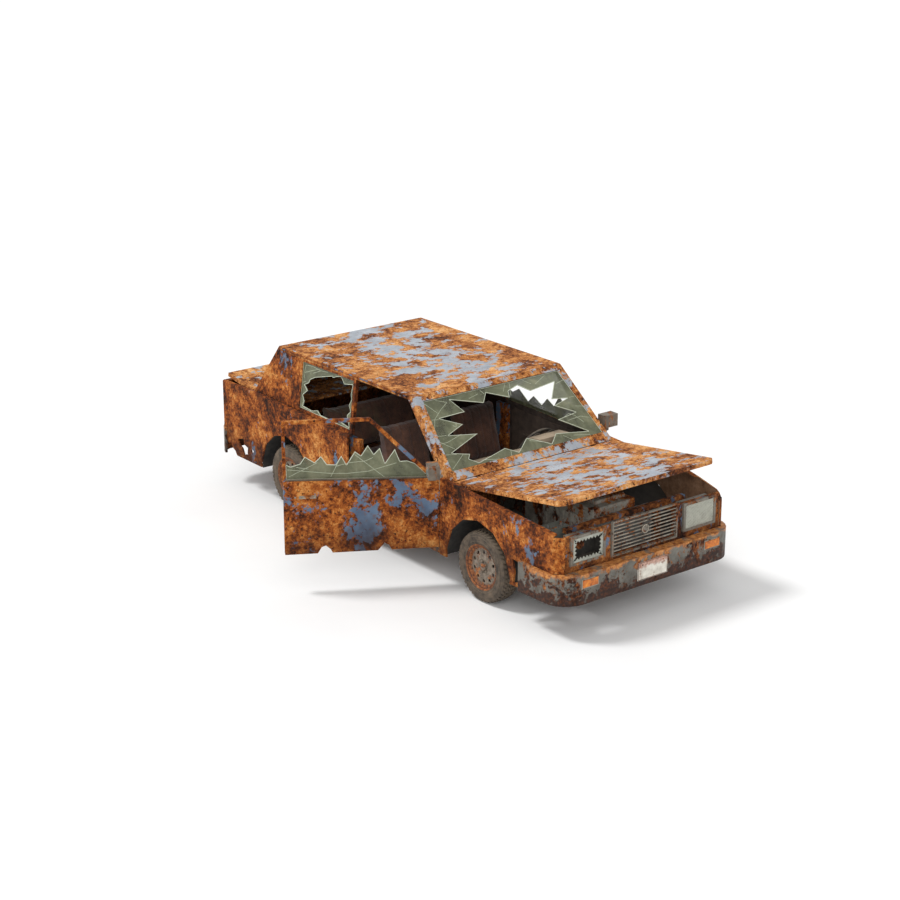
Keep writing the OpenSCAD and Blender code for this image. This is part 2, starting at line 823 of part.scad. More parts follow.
// Moulded board under the windshield, with the driver's instrument hood and the steering column
module dashboard() {
  y0 = firewall_y + 20 + seat_gap;
  x = post_x - 45;
  color("rosybrown")
    difference() {
      union() {
        side_plate(-x, x,
          [[y0, 690], [y0, 880], [y0 + 120, 900], [y0 + 250, 880], [y0 + 290, 840], [y0 + 250, 720],
           [y0 + 200, 660], [y0 + 60, 660]]);
        side_plate(driver_x - 160, driver_x + 160,
          [[y0 + 110, 890], [y0 + 130, 960], [y0 + 260, 950], [y0 + 270, 860]]);
        on_column()
          translate([0, 0, -240])
            cylinder(r = 28, h = 215);
      }
      on_column()
        translate([0, 0, -130])
          cylinder(r = 12 + fit_gap, h = 140);
    }
}

// Frame of the steering column, with Z along the column towards the driver
module on_column() {
  translate(steer_hub)
    rotate([column_tilt - 90, 0, 0])
      children();
}

module front_seat(x) {
  z = floor_h;
  side_plate(x - seat_w/2, x + seat_w/2,
    [[-330, z + 90], [-340, z + 190], [120, z + 180], [270, z + 680], [370, z + 690], [330, z + 500],
     [260, z + 110], [230, z + 90]]);
  block([x - 170, -250, z], [x - 140, 150, z + 91]);
  block([x + 140, -250, z], [x + 170, 150, z + 91]);
}

module driver_seat() {
  color("saddlebrown")
    front_seat(driver_x);
}

module passenger_seat() {
  color("saddlebrown")
    front_seat(-driver_x);
}

module rear_seat() {
  z = floor_h + seat_gap;
  y = kick_y - seat_gap;
  x = tub_x - 8;
  color("saddlebrown")
    difference() {
      side_plate(-x, x,
        [[y - 330, z], [y - 340, z + 200], [y + 80, z + 190], [y + 230, z + 560], [y + 330, z + 560],
         [y + 260, trunk_floor_h + seat_gap], [y, trunk_floor_h + seat_gap], [y, z]]);
      block([-121, y - 400, 0], [121, y + 1, floor_h + 131]);
    }
}

module front_axle() {
  y = front_axle_y;
  color("dimgray") {
    block([-rail_x - rail_w, y - 45, floor_h - 80], [rail_x + rail_w, y + 45, floor_h - sheet_t - seat_gap]);
    both_sides() {
      block([rail_x + 30, y - 20, 225], [kingpin_x + 16, y + 20, 243]);
      translate([kingpin_x, y, 242])
        cylinder(r = 10, h = 40);
    }
  }
}

module spindle(x0) {
  bar_x(x0, wheel_x - 50, 0, tyre_r, spindle_r);
}

module rear_axle() {
  y = rear_axle_y;
  color("dimgray") {
    bar_x(-620, 620, y, tyre_r, 34);
    bar_y(y - pinion_l, y, 0, tyre_r, 42);
    translate([0, y, tyre_r])
      rotate([0, 90, 0])
        rotate_extrude()
          polygon([[0, -125], [55, -125], [105, -50], [105, 50], [55, 125], [0, 125]]);
    both_sides() {
      translate([0, y, 0])
        spindle(600);
      block([rail_x + 5, y - 420, 232], [rail_x + rail_w - 5, y + 420, 256]);
      block([rail_x + 5, y - 45, 248], [rail_x + rail_w - 5, y + 45, 278]);
      block([rail_x + 5, y - 420, 232], [rail_x + rail_w - 5, y - 390, sill_h - seat_gap]);
      block([rail_x + 5, y + 390, 232], [rail_x + rail_w - 5, y + 420, trunk_floor_h - 73 - seat_gap]);
    }
  }
}

// Slopes from the gearbox's rear face down to the rear axle's pinion nose
module drive_shaft() {
  r = 30;
  y0 = firewall_y - 6;
  y1 = rear_axle_y - pinion_l;
  slope = atan2(gearbox_h - tyre_r, y1 - y0);
  end_gap = seat_gap + r*sin(slope);
  color("dimgray")
    translate([0, y0 + end_gap, gearbox_h])
      rotate([-90 - slope, 0, 0])
        cylinder(r = r, h = (y1 - y0 - 2*end_gap)/cos(slope));
}

module fuel_tank() {
  color("dimgray")
    block([-360, rear_axle_y + 300, 225], [360, rear_axle_y + 720, trunk_floor_h - sheet_t - seat_gap]);
}

module exhaust() {
  x = -250;
  color("sienna") {
    bar_y(firewall_y - 180, rear_axle_y - 640, x, 235, 24);
    bar_y(rear_axle_y - 642, rear_axle_y - 260, x, 235, 46);
    for (y = [-300, rear_axle_y - 500])
      block([x - 10, y, 240], [x + 10, y + 30, floor_h - sheet_t - seat_gap]);
  }
}

// Door on the left side at its closed place: slab below the belt, frame round the window, hinge eyes
module door_shell() {
  y0 = door_front_y;
  y1 = door_rear_y;
  z1 = roof_under - 7;
  front_foot = y0 + 25;
  front_top = y0 + 520;
  difference() {
    union() {
      side_plate(door_inner_x, side_x,
        [[y0, door_bottom_h], [y0, belt_h(y0)], [y1, belt_h(y1)], [y1, door_bottom_h]]);
      intersection() {
        cabin_wall(0, frame_t, belt_front_h - 30);
        difference() {
          side_plate(0, side_x,
            [[front_foot, belt_h(y0) - 2], [front_top, z1], [y1, z1], [y1, belt_h(y1) - 2]]);
          side_plate(-1, side_x + 1,
            [[front_foot + frame_bar*1.5, belt_h(y0) - 3],
             [front_top + frame_bar*0.45, z1 - frame_bar],
             [y1 - frame_bar, z1 - frame_bar], [y1 - frame_bar, belt_h(y1) - 3]]);
        }
      }
      for (z = [430, 760])
        translate([hinge_x, hinge_y, z - 21.5])
          cylinder(r = 8, h = 43);
    }
    for (z = [430, 760])
      translate([hinge_x, hinge_y, z - 30])
        cylinder(r = pin_r + fit_gap, h = 60);
  }
}

module door_glass(points) {
  intersection() {
    cabin_wall(10, glass_t, belt_front_h - 10);
    side_plate(0, side_x, points);
  }
}

// Front edge of a door's window opening at a height
function window_front_y(z) =
  let (z0 = belt_h(door_front_y) - 3, z1 = roof_under - 7 - frame_bar,
       y0 = door_front_y + 25 + frame_bar*1.5, y1 = door_front_y + 520 + frame_bar*0.45)
    y0 + (z - z0)*(y1 - y0)/(z1 - z0);

// Jagged stump of a broken door window; a peak is a share of the door's length and a height over the belt
function stump(peaks) = concat(
  [for (z = [belt_h(door_front_y + 80) + seat_gap, belt_front_h + 115])
    [window_front_y(z) + seat_gap, z]],
  [for (p = peaks) [door_front_y + p[0]*door_l, belt_front_h + p[1]]],
  [[door_rear_y - frame_bar - seat_gap, belt_front_h + 150],
   [door_rear_y - frame_bar - seat_gap, belt_h(door_rear_y) + seat_gap]]);

// Mirror head on its arm at the front corner of a window
module mirror_unit() {
  x0 = side_x - 34;
  y = door_front_y + 60;
  z = belt_h(y + 25) + seat_gap;
  block([x0, y - 25, z], [x0 + 90, y + 25, z + 32]);
  block([x0 + 60, y - 25, z + 10], [x0 + 110, y + 25, z + 60]);
  block([x0 + 52, y - 45, z + 40], [x0 + 192, y + 45, z + 145]);
}

// Swings a right door's piece, modelled on the left at its closed place, to where it stands
module at_right_door() {
  translate([-hinge_x, hinge_y, 0])
    rotate([0, 0, door_open])
      translate([hinge_x, -hinge_y, 0])
        mirror([1, 0, 0])
          children();
}

module door_right() {
  y = door_front_y;
  z = door_bottom_h;
  color("peru")
    at_right_door()
      difference() {
        door_shell();
        side_plate(door_inner_x - 1, side_x + 1,
          [[y + 835, z - 1], [y + 850, z + 30], [y + 888, z + 62], [y + 920, z + 50], [y + 951, z - 1]]);
        side_plate(door_inner_x - 1, side_x + 1,
          [[y + 373, z - 1], [y + 395, z + 40], [y + 428, z + 60], [y + 450, z + 35], [y + 483, z - 1]]);
      }
}

module door_right_glass() {
  color([0.55, 0.62, 0.55, 0.5])
    at_right_door()
      door_glass(stump(
        [[0.2, 138], [0.246, 136], [0.277, 231], [0.343, 125], [0.374, 245], [0.413, 199],
         [0.45, 270], [0.496, 193], [0.534, 228], [0.59, 127], [0.622, 198], [0.659, 132],
         [0.715, 137], [0.752, 202], [0.794, 156], [0.855, 204], [0.887, 151], [0.948, 131]]));
}

module mirror_right() {
  color("slategray")
    at_right_door()
      mirror_unit();
}

module door_left() {
  color("peru")
    door_shell();
}

module door_left_glass() {
  color([0.55, 0.62, 0.55, 0.5])
    door_glass(stump(
      [[0.2, 150], [0.274, 210], [0.324, 140], [0.399, 230], [0.465, 120], [0.532, 170],
       [0.598, 90], [0.681, 150], [0.748, 80], [0.839, 170], [0.914, 120]]));
}

module mirror_left() {
  color("slategray")
    mirror_unit();
}

// Turns a piece about a line along X through a pivot given as [y, z]
module swing(pivot, angle) {
  translate([0, pivot[0], pivot[1]])
    rotate([angle, 0, 0])
      translate([0, -pivot[0], -pivot[1]])
        children();
}

// Notches and bores at a lid's hinges
module hinge_cuts(x, pivot, y0, y1) {
  both_sides() {
    block([x - 25, y0, pivot[1] - 60], [x + 25, y1, pivot[1] + 60]);
    bar_x(x - 45, x + 45, pivot[0], pivot[1], pin_r + 1 + fit_gap);
  }
}

module hood() {
  w0 = lid_x - 2;
  w1 = lid_x - 30;
  y0 = hood_rear_y - hood_l;
  drop = (cowl_h - nose_h)*hood_l/(hood_rear_y - nose_y);
  color("peru")
    swing(hood_pivot, -hood_ajar)
      difference() {
        intersection() {
          side_plate(-side_x, side_x,
            [[y0, cowl_h - drop], [hood_rear_y, cowl_h], [hood_rear_y, cowl_h - lid_t],
             [y0, cowl_h - drop - lid_t]]);
          flat_plate(500, 1200,
            [[-w0, hood_rear_y], [w0, hood_rear_y], [w1, y0 + 40], [w1 - 45, y0 + 4], [w1 - 110, y0],
             [-w1 + 110, y0], [-w1 + 45, y0 + 4], [-w1, y0 + 40]]);
        }
        intersection() {
          side_plate(-side_x, side_x,
            [[y0, cowl_h - drop - skin_t], [hood_rear_y, cowl_h - skin_t],
             [hood_rear_y, cowl_h - lid_t - 20], [y0, cowl_h - drop - lid_t - 20]]);
          flat_plate(500, 1200,
            [[-w0 + 40, hood_rear_y - 40], [w0 - 40, hood_rear_y - 40], [w1 - 40, y0 + 80],
             [w1 - 110, y0 + 40], [-w1 + 110, y0 + 40], [-w1 + 40, y0 + 80]]);
        }
        hinge_cuts(600, hood_pivot, hood_rear_y - 30, hood_rear_y + 5);
      }
}

module trunk_lid() {
  w = lid_x;
  h0 = deck_h(trunk_front_y);
  h1 = deck_h(trunk_rear_y);
  color("peru")
    swing(trunk_pivot, trunk_ajar)
      difference() {
        side_plate(-w, w,
          [[trunk_front_y, h0], [trunk_rear_y, h1], [trunk_rear_y, h1 - lid_t],
           [trunk_front_y, h0 - lid_t]]);
        side_plate(-w + 40, w - 40,
          [[trunk_front_y + 40, h0 - skin_t], [trunk_rear_y - 40, h1 - skin_t],
           [trunk_rear_y - 40, h1 - lid_t - 20], [trunk_front_y + 40, h0 - lid_t - 20]]);
        hinge_cuts(560, trunk_pivot, trunk_front_y - 5, trunk_front_y + 30);
      }
}

// Hub carrier that turns about the upright steering axis, with its strut and spindle
module knuckle() {
  difference() {
    union() {
      translate([kingpin_x, 0, 244])
        cylinder(r = 20, h = 420);
      translate([kingpin_x, 0, 600])
        cylinder(r = 14, h = tyre_r + arch_r + 10 - 600);
      block([kingpin_x - 22, -30, 250], [kingpin_x + 22, 30, 330]);
      spindle(kingpin_x);
    }
    translate([kingpin_x, 0, 200])
      cylinder(r = 10 + fit_gap, h = 86);
  }
}

module knuckle_left() {
  color("dimgray")
    translate([0, front_axle_y, 0])
      knuckle();
}

module knuckle_right() {
  color("dimgray")
    translate([0, front_axle_y, 0])
      mirror([1, 0, 0])
        knuckle();
}

// Turns an outline of [radius, distance outward] round a wheel's axle on the left side
module turned(points) {
  translate([wheel_x - tyre_w/2, 0, tyre_r])
    rotate([0, 90, 0])
      rotate_extrude($fn = 96)
        polygon(points);
}

module tyre() {
  w = tyre_w/2;
  turned([[rim_r, -w + 22], [rim_r + 14, -w + 8], [rim_r + 55, -w], [tyre_r - 38, -w + 2],
          [tyre_r - 12, -w + 14], [tyre_r - 2, -w + 34], [tyre_r, 0], [tyre_r - 2, w - 34],
          [tyre_r - 12, w - 14], [tyre_r - 38, w - 2], [rim_r + 55, w], [rim_r + 14, w - 8],
          [rim_r, w - 22]]);
}

module rim() {
  w = tyre_w/2;
  bore = spindle_r + fit_gap;
  difference() {
    turned([[bore, -10], [bore, w - 52], [62, w - 30], [78, w - 34], [150, w - 40], [156, w - 24],
            [rim_r + 14, w - 7], [rim_r, w - 22], [rim_r, -w + 22], [rim_r + 14, -w + 7],
            [rim_r - 8, -w + 12], [rim_r - 10, w - 50], [90, w - 44], [56, w - 46], [50, -10]]);
    for (i = [0 : 9])
      translate([wheel_x - tyre_w/2, 0, tyre_r])
        rotate([36*i, 0, 0])
          translate([0, 0, 118])
            rotate([0, 90, 0])
              cylinder(r = 15, h = 100);
  }
  turned([[0, w - 50], [spindle_r + 10, w - 48], [30, w - 24], [0, w - 18]]);
}

module at_wheel(side, y) {
  translate([0, y, 0])
    mirror([side == "right" ? 1 : 0, 0, 0])
      children();
}

module tyre_front_right() {
  color("dimgray")
    at_wheel("right", front_axle_y)
      tyre();
}

module tyre_front_left() {
  color("dimgray")
    at_wheel("left", front_axle_y)
      tyre();
}

module tyre_rear_right() {
  color("dimgray")
    at_wheel("right", rear_axle_y)
      tyre();
}

module tyre_rear_left() {
  color("dimgray")
    at_wheel("left", rear_axle_y)
      tyre();
}

module rim_front_right() {
  color("sienna")
    at_wheel("right", front_axle_y)
      rim();
}

module rim_front_left() {
  color("sienna")
    at_wheel("left", front_axle_y)
      rim();
}

module rim_rear_right() {
  color("sienna")
    at_wheel("right", rear_axle_y)
      rim();
}

module rim_rear_left() {
  color("sienna")
    at_wheel("left", rear_axle_y)
      rim();
}

module steering_wheel() {
  color("black")
    on_column() {
      rotate_extrude($fn = 64)
        translate([wheel_r, 0])
          circle(r = 12, $fn = 24);
      block([-wheel_r, -16, -8], [wheel_r, 16, 8]);
      block([-14, -wheel_r, -8], [14, 0, 8]);
      translate([0, 0, -18])
        cylinder(r = 42, h = 34);
      translate([0, 0, -120])
        cylinder(r = 12, h = 110);
    }
}

floor_pan();
trunk_floor();
chassis_legs();
firewall();
fender_right();
fender_left();
front_wheel_tubs();
rear_wheel_tubs();
quarter_right();
quarter_left();
roof();
windshield_frame();
door_pillars();
rear_deck();
rear_panel();
nose_panel();
windshield();
rear_window();
quarter_glass();
radiator();
grille();
headlights();
signal_lamps();
front_bumper();
rear_bumper();
number_plates();
engine();
battery();
dashboard();
driver_seat();
passenger_seat();
rear_seat();
front_axle();
rear_axle();
drive_shaft();
fuel_tank();
exhaust();
door_right();
door_right_glass();
mirror_right();
door_left();
door_left_glass();
mirror_left();
hood();
trunk_lid();
knuckle_right();
knuckle_left();
tyre_front_right();
tyre_front_left();
tyre_rear_right();
tyre_rear_left();
rim_front_right();
rim_front_left();
rim_rear_right();
rim_rear_left();
steering_wheel();
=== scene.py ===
"""Rusted two-door saloon wreck: the finish of every surface, the seats' padding and the small detail."""
import random
from math import atan, cos, exp, radians, sin, sqrt, tau

import bmesh
import bpy
from mathutils import Matrix, Vector


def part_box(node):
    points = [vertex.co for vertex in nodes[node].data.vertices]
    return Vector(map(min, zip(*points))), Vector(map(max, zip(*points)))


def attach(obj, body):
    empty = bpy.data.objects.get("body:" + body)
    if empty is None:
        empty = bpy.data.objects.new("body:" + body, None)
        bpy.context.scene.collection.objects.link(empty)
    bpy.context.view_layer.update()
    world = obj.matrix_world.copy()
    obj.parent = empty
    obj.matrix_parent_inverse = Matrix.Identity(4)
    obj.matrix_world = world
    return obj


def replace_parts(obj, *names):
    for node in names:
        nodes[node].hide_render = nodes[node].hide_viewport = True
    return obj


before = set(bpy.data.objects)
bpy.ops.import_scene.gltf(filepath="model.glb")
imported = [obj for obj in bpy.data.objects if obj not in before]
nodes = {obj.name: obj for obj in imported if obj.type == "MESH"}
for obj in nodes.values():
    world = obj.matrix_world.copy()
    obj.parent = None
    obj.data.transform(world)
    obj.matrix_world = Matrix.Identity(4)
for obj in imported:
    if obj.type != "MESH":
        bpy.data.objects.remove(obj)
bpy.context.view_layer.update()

CAMERA_TARGET = Vector((0, 0.131, 0.681))
CAMERA_DISTANCE = 16.555
CAMERA_AZIMUTH = radians(-38.321)
CAMERA_ELEVATION = radians(18.686)
CAMERA_LENS = 78.92

# The hinge of the open right door and how far it stands open
DOOR_HINGE = Vector((-0.862, -0.83, 0))
DOOR_OPEN = radians(60)
DOOR_SKIN = 0.872

# Foot of the windshield's face as (y, z), and its slope
WINDSHIELD_FOOT = (-0.96, 0.887)
WINDSHIELD_SLOPE = radians(42.06)

# The cabin's side: half width and height at the roof, and how far it leans out for each metre down
ROOF_X = 0.765
ROOF_Z = 1.414
CABIN_LEAN = 0.12665

# The belt line at the front as (y, z), and its rise
BELT_FRONT = (-0.96, 0.885)
BELT_SLOPE = 0.07 / 2.799

# Pivots of the lids as (y, z), how far they stand open, and their skin
HOOD_PIVOT = (-0.977, 0.879)
HOOD_AJAR = radians(11)
TRUNK_PIVOT = (1.856, 0.947)
TRUNK_AJAR = radians(10)
LID_SKIN = 0.012

# The closed hood's face at its back edge as (y, z), and its rise; the two ends of the closed trunk lid's face
HOOD_BACK = (-0.968, 0.887)
HOOD_RISE = 0.05134
TRUNK_FRONT = (1.839, 0.955)
TRUNK_BACK = (2.316, 0.943)

# Rear face of the mirrors' heads, as y on a closed door
MIRROR_BACK = -0.72

HALF_WHEELBASE = 1.308
TYRE_RADIUS = 0.288
TREAD_BLOCKS = 46
EXHAUST_Z = 0.235
BADGE_Z = 0.686

# Lower edges of the front and rear number plates
FRONT_PLATE_Z = 0.328
REAR_PLATE_Z = 0.66

# How the seats' padding is blown up: remeshing size, cloth pressure, frames, and how far a point may move
PAD_VOXEL = 0.009
PAD_PRESSURE = 4
PAD_FRAMES = 20
PAD_SWELL = 0.022

# Every material by its name, filled as the recipes below make them
finishes = {}


# ---- materials

def colour(code):
    """Linear RGBA of a colour written as RRGGBB."""
    parts = [int(code[i:i + 2], 16) / 255 for i in (0, 2, 4)]
    linear = [c / 12.92 if c <= 0.04045 else ((c + 0.055) / 1.055) ** 2.4 for c in parts]
    return (*linear, 1)


def feed(tree, socket, value):
    """Links a socket, or sets a plain value."""
    if isinstance(value, bpy.types.NodeSocket):
        tree.links.new(value, socket)
    else:
        socket.default_value = value


def add_node(tree, kind, inputs, **settings):
    """A new shader node, with its settings and its inputs by name or number."""
    node = tree.nodes.new("ShaderNode" + kind)
    for key, value in settings.items():
        setattr(node, key, value)
    for key, value in inputs.items():
        feed(tree, node.inputs[key], value)
    return node


class Recipe:
    """A material's node tree. Most methods add a node and return its output socket."""

    def __init__(self, name):
        self.material = finishes[name] = bpy.data.materials.new(name)
        self.material.use_nodes = True
        self.tree = self.material.node_tree
        self.shader = self.tree.nodes["Principled BSDF"]
        coords = self.tree.nodes.new("ShaderNodeTexCoord")
        self.place = coords.outputs["Object"]
        self.normal = coords.outputs["Normal"]

    def node(self, kind, inputs, output=0, **settings):
        return add_node(self.tree, kind, inputs, **settings).outputs[output]

    def noise(self, scale, detail, roughness, distortion=0, stretch=None):
        """Noise over the object's coordinates; stretch scales them apart along X, Y and Z."""
        place = self.node("Mapping", {"Vector": self.place, "Scale": stretch}) if stretch else self.place
        return self.node("TexNoise", {"Vector": place, "Scale": scale, "Detail": detail, "Roughness": roughness,
                                      "Distortion": distortion}, "Fac")

    def maths(self, operation, a, b=0):
        return self.node("Math", {0: a, 1: b}, operation=operation)

    def add(self, a, b):
        return self.maths("ADD", a, b)

    def times(self, a, b):
        return self.maths("MULTIPLY", a, b)

    def window(self, value, low, high, a=0, b=1):
        """value mapped from low..high to a..b, and held there outside."""
        return self.node("MapRange", {"Value": value, "From Min": low, "From Max": high, "To Min": a, "To Max": b},
                         "Result")

    def wandering(self, value, scale, detail, roughness, reach):
        """value moved up and down by noise."""
        return self.add(value, self.window(self.noise(scale, detail, roughness), 0.3, 0.7, -reach, reach))

    def tones(self, value, *stops):
        """A colour ramp: each stop is a position and a colour code."""
        node = add_node(self.tree, "ValToRGB", {"Fac": value})
        band = node.color_ramp.elements
        while len(band) < len(stops):
            band.new(0.5)
        for element, (position, code) in zip(band, stops):
            element.position = position
            element.color = colour(code)
        return node.outputs["Color"]

    def mix(self, share, a, b):
        a, b = (colour(c) if isinstance(c, str) else c for c in (a, b))
        return self.node("Mix", {0: share, 6: a, 7: b}, 2, data_type="RGBA")

    def part(self, vector, axis):
        return self.node("SeparateXYZ", {0: vector}, "XYZ".index(axis))

    def facing(self, direction):
        """How far a surface faces a direction, from -1 to 1."""
        return self.node("VectorMath", {0: self.normal, 1: direction}, "Value", operation="DOT_PRODUCT")

    def bump(self, height, strength, distance=0.004):
        normal = self.node("Bump", {"Strength": strength, "Distance": distance, "Height": height}, "Normal")
        self.set("Normal", normal)

    def set(self, name, value):
        """Gives the shader one of its inputs."""
        feed(self.tree, self.shader.inputs[name], value)

    def finish(self, base, roughness):
        self.set("Base Color", base)
        self.set("Roughness", roughness)
        return self.material


RUST_TONES = ((0.28, "3a1c0e"), (0.4, "7c4420"), (0.5, "b0703a"), (0.6, "cb8d50"), (0.76, "e4b27a"))
# The same rust again, darker: painted shade for upright faces, which get less light than tops
SHADED_SIDE_RUST = ((0.28, "1c0d06"), (0.4, "4f240c"), (0.5, "854318"), (0.6, "a86026"), (0.76, "cc9050"))
DARK_RUST = ((0.28, "170b06"), (0.4, "3f1e0e"), (0.5, "73401e"), (0.62, "9c5f2f"), (0.78, "c48a50"))


def rust_layers(r, cover, patch, stretch, edge=0.014, shades=RUST_TONES, sides=None):
    """(where the rust is, its colour, its relief) for a coat of paint with rust over a share of it.
    sides is the distances from the car's middle line between which the rust gains on the paint."""
    patches = r.noise(patch, 12, 0.66, 0.25, stretch)
    specks = r.noise(patch * 9, 5, 0.6)
    field = r.add(patches, r.times(r.maths("SUBTRACT", specks, 0.5), 0.18))
    if sides:
        aside = r.maths("ABSOLUTE", r.part(r.place, "X"))
        field = r.add(field, r.window(aside, sides[0], sides[1], -0.045, 0.075))
    level = 0.5 + (0.5 - cover) * 0.36
    where = r.window(field, level - edge, level + edge)
    broad = r.window(r.noise(4, 7, 0.62, 0.3), 0.3, 0.7)
    grain = r.window(r.noise(28, 9, 0.8), 0.28, 0.72)
    tone = r.tones(r.add(r.times(broad, 0.42), r.times(grain, 0.58)), *shades)
    pits = r.window(r.noise(46, 4, 0.55), 0.34, 0.4)
    tone = r.mix(pits, "24110a", tone)
    return where, tone, r.add(r.times(where, 0.5), r.noise(90, 6, 0.7))


def rusted_paint(name, paint, cover, patch=3, stretch=(1, 1, 1), grime=(0.25, 0.62), lining=None,
                 shades=RUST_TONES, inner_face_and_painted_light=("1f1510", "3a281e", "5f4534"), sides=None, rim=None):
    """Faded paint with rust, darker towards the bottom between the two heights in grime; lining is the outward
    direction of a panel whose inner face is bare brown metal, or x where outward is away from the car's middle.
    The inner face's tones also carry painted shade: by default they are dark for the shade within the body, and
    the fenders' are lightened as painted light for their shaded arches.
    rim is the outward direction of a lid whose edges are rusted through the paint."""
    r = Recipe(name)
    where, rust, relief = rust_layers(r, cover, patch, stretch, shades=shades, sides=sides)
    if rim:
        crumble = r.window(r.noise(24, 8, 0.7), 0.36, 0.46)
        edge = r.window(r.facing(rim), 0.6, 0.8, 1, 0)
        where = r.maths("MAXIMUM", where, r.times(crumble, edge))
    faded = r.tones(r.noise(5, 6, 0.6), (0.32, paint[0]), (0.66, paint[1]))
    faded = r.mix(r.window(r.noise(30, 8, 0.7), 0.55, 0.72, 0, 0.45), faded, "4f545a")
    base = r.mix(where, faded, rust)
    # Thin brown runs over the paint that is left
    runs = r.window(r.noise(patch * 5, 9, 0.75, 0.3, stretch), 0.55, 0.62, 0, 0.55)
    base = r.mix(runs, base, "6b4225")
    # Darker towards the bottom, between the two heights in grime
    height = r.wandering(r.part(r.place, "Z"), 4, 6, 0.6, 0.16)
    base = r.mix(r.window(height, grime[0], grime[1], 0.75, 0), base, "2a140b")
    if lining:
        if lining == "x":
            outward = r.times(r.part(r.normal, "X"), r.maths("SIGN", r.part(r.place, "X")))
        else:
            outward = r.facing(lining)
        # Inward faces are bare brown metal, darkened with painted shade; the fenders' tones are lightened instead,
        # as painted light
        inner = r.tones(r.noise(9, 9, 0.75), *zip((0.36, 0.54, 0.72), inner_face_and_painted_light))
        base = r.mix(r.window(outward, -0.35, -0.25, 1, 0), base, inner)
    r.bump(relief, 0.6)
    r.set("Specular IOR Level", 0.25)
    return r.finish(base, r.window(where, 0, 1, 0.55, 0.93))


def rusted_metal(name, dark, light, cover, patch=5, shades=DARK_RUST, crust=None, flaked=False):
    """Bare or grey metal with rust over a share of it. crust is a height above which it is rustier;
    flaked metal is dark and scaly low down."""
    r = Recipe(name)
    where, rust, relief = rust_layers(r, cover, patch, (1, 1, 0.6), 0.03, shades)
    metal = r.tones(r.noise(9, 8, 0.65), (0.3, dark), (0.7, light))
    metal = r.mix(r.window(r.noise(34, 8, 0.75), 0.5, 0.66, 0, 0.5), metal, "54402f")
    base = r.mix(where, metal, rust)
    height = r.part(r.place, "Z")
    wander = r.wandering(height, 7, 8, 0.7, 0.05)
    if flaked:
        low = r.add(r.noise(7, 10, 0.7, 0.3), r.window(height, 0.28, 0.5, 0.16, -0.06))
        scale = r.tones(r.noise(38, 8, 0.7), (0.36, "150b07"), (0.5, "331a0f"), (0.66, "6e3d20"))
        base = r.mix(r.window(low, 0.575, 0.592), base, scale)
    if crust:
        flakes = r.tones(r.noise(30, 9, 0.75), *RUST_TONES)
        base = r.mix(r.window(wander, crust - 0.012, crust + 0.012), base, flakes)
    base = r.mix(r.window(wander, 0.24, 0.42, 0.7, 0), base, "2a170e")
    r.bump(relief, 0.5)
    r.set("Specular IOR Level", 0.3)
    return r.finish(base, r.window(where, 0, 1, 0.55, 0.92))


def plain_dull(name, dark, light, rough, scale=14, dust_and_top_light="8a7c6b", dust_and_top_light_share=0.35, relief=0.3):
    """Dull plastic, rubber or board, dusty on what faces up; on the wheel tubs that lighter tone on top
    is painted light from above.
    """
    r = Recipe(name)
    base = r.tones(r.noise(scale, 9, 0.65), (0.32, dark), (0.68, light))
    # Upward faces take a lighter tone: dusty, and on the wheel tubs painted light from above
    up = r.window(r.part(r.normal, "Z"), 0.2, 0.9)
    share = r.times(up, r.window(r.noise(6, 8, 0.7), 0.35, 0.65, 0.1, dust_and_top_light_share * 2))
    base = r.mix(share, base, dust_and_top_light)
    r.bump(r.noise(120, 6, 0.6), relief, 0.002)
    return r.finish(base, rough)


def signal_plastic(name):
    """Amber lamps at the front and dark red ones at the back, grimy in the ribs."""
    r = Recipe(name)
    amber = r.tones(r.noise(26, 8, 0.7), (0.34, "7d3d0c"), (0.5, "c76a14"), (0.68, "e8952c"))
    red = r.tones(r.noise(26, 8, 0.7), (0.34, "300b08"), (0.5, "5f1511"), (0.68, "82231b"))
    base = r.mix(r.window(r.part(r.place, "Y"), -0.1, 0.1), amber, red)
    base = r.mix(r.window(r.noise(9, 9, 0.7), 0.55, 0.7, 0, 0.5), base, "5d4a38")
    r.bump(r.noise(60, 6, 0.6), 0.1, 0.002)
    return r.finish(base, 0.38)


def plate_enamel(name):
    """A bare pale plate, rusting down from its top edge."""
    r = Recipe(name)
    base = r.tones(r.noise(14, 9, 0.7), (0.32, "b5ada0"), (0.5, "d9d4c8"), (0.68, "e9e5da"))
    # Both plates in one pattern: height over a plate's lower edge, as a share of the step between the plates
    step = REAR_PLATE_Z - FRONT_PLATE_Z
    share = r.maths("FRACT", r.maths("DIVIDE", r.maths("SUBTRACT", r.part(r.place, "Z"), FRONT_PLATE_Z), step))
    wander = r.wandering(share, 22, 9, 0.7, 0.05)
    rust = r.tones(r.noise(40, 8, 0.7), (0.4, "8d5a48"), (0.6, "c99a86"))
    base = r.mix(r.window(wander, 0.27, 0.33, 0, 0.85), base, rust)
    base = r.mix(r.window(r.noise(17, 9, 0.75), 0.57, 0.64, 0, 0.8), base, "7b4626")
    r.bump(r.noise(60, 6, 0.7), 0.25, 0.002)
    return r.finish(base, 0.55)


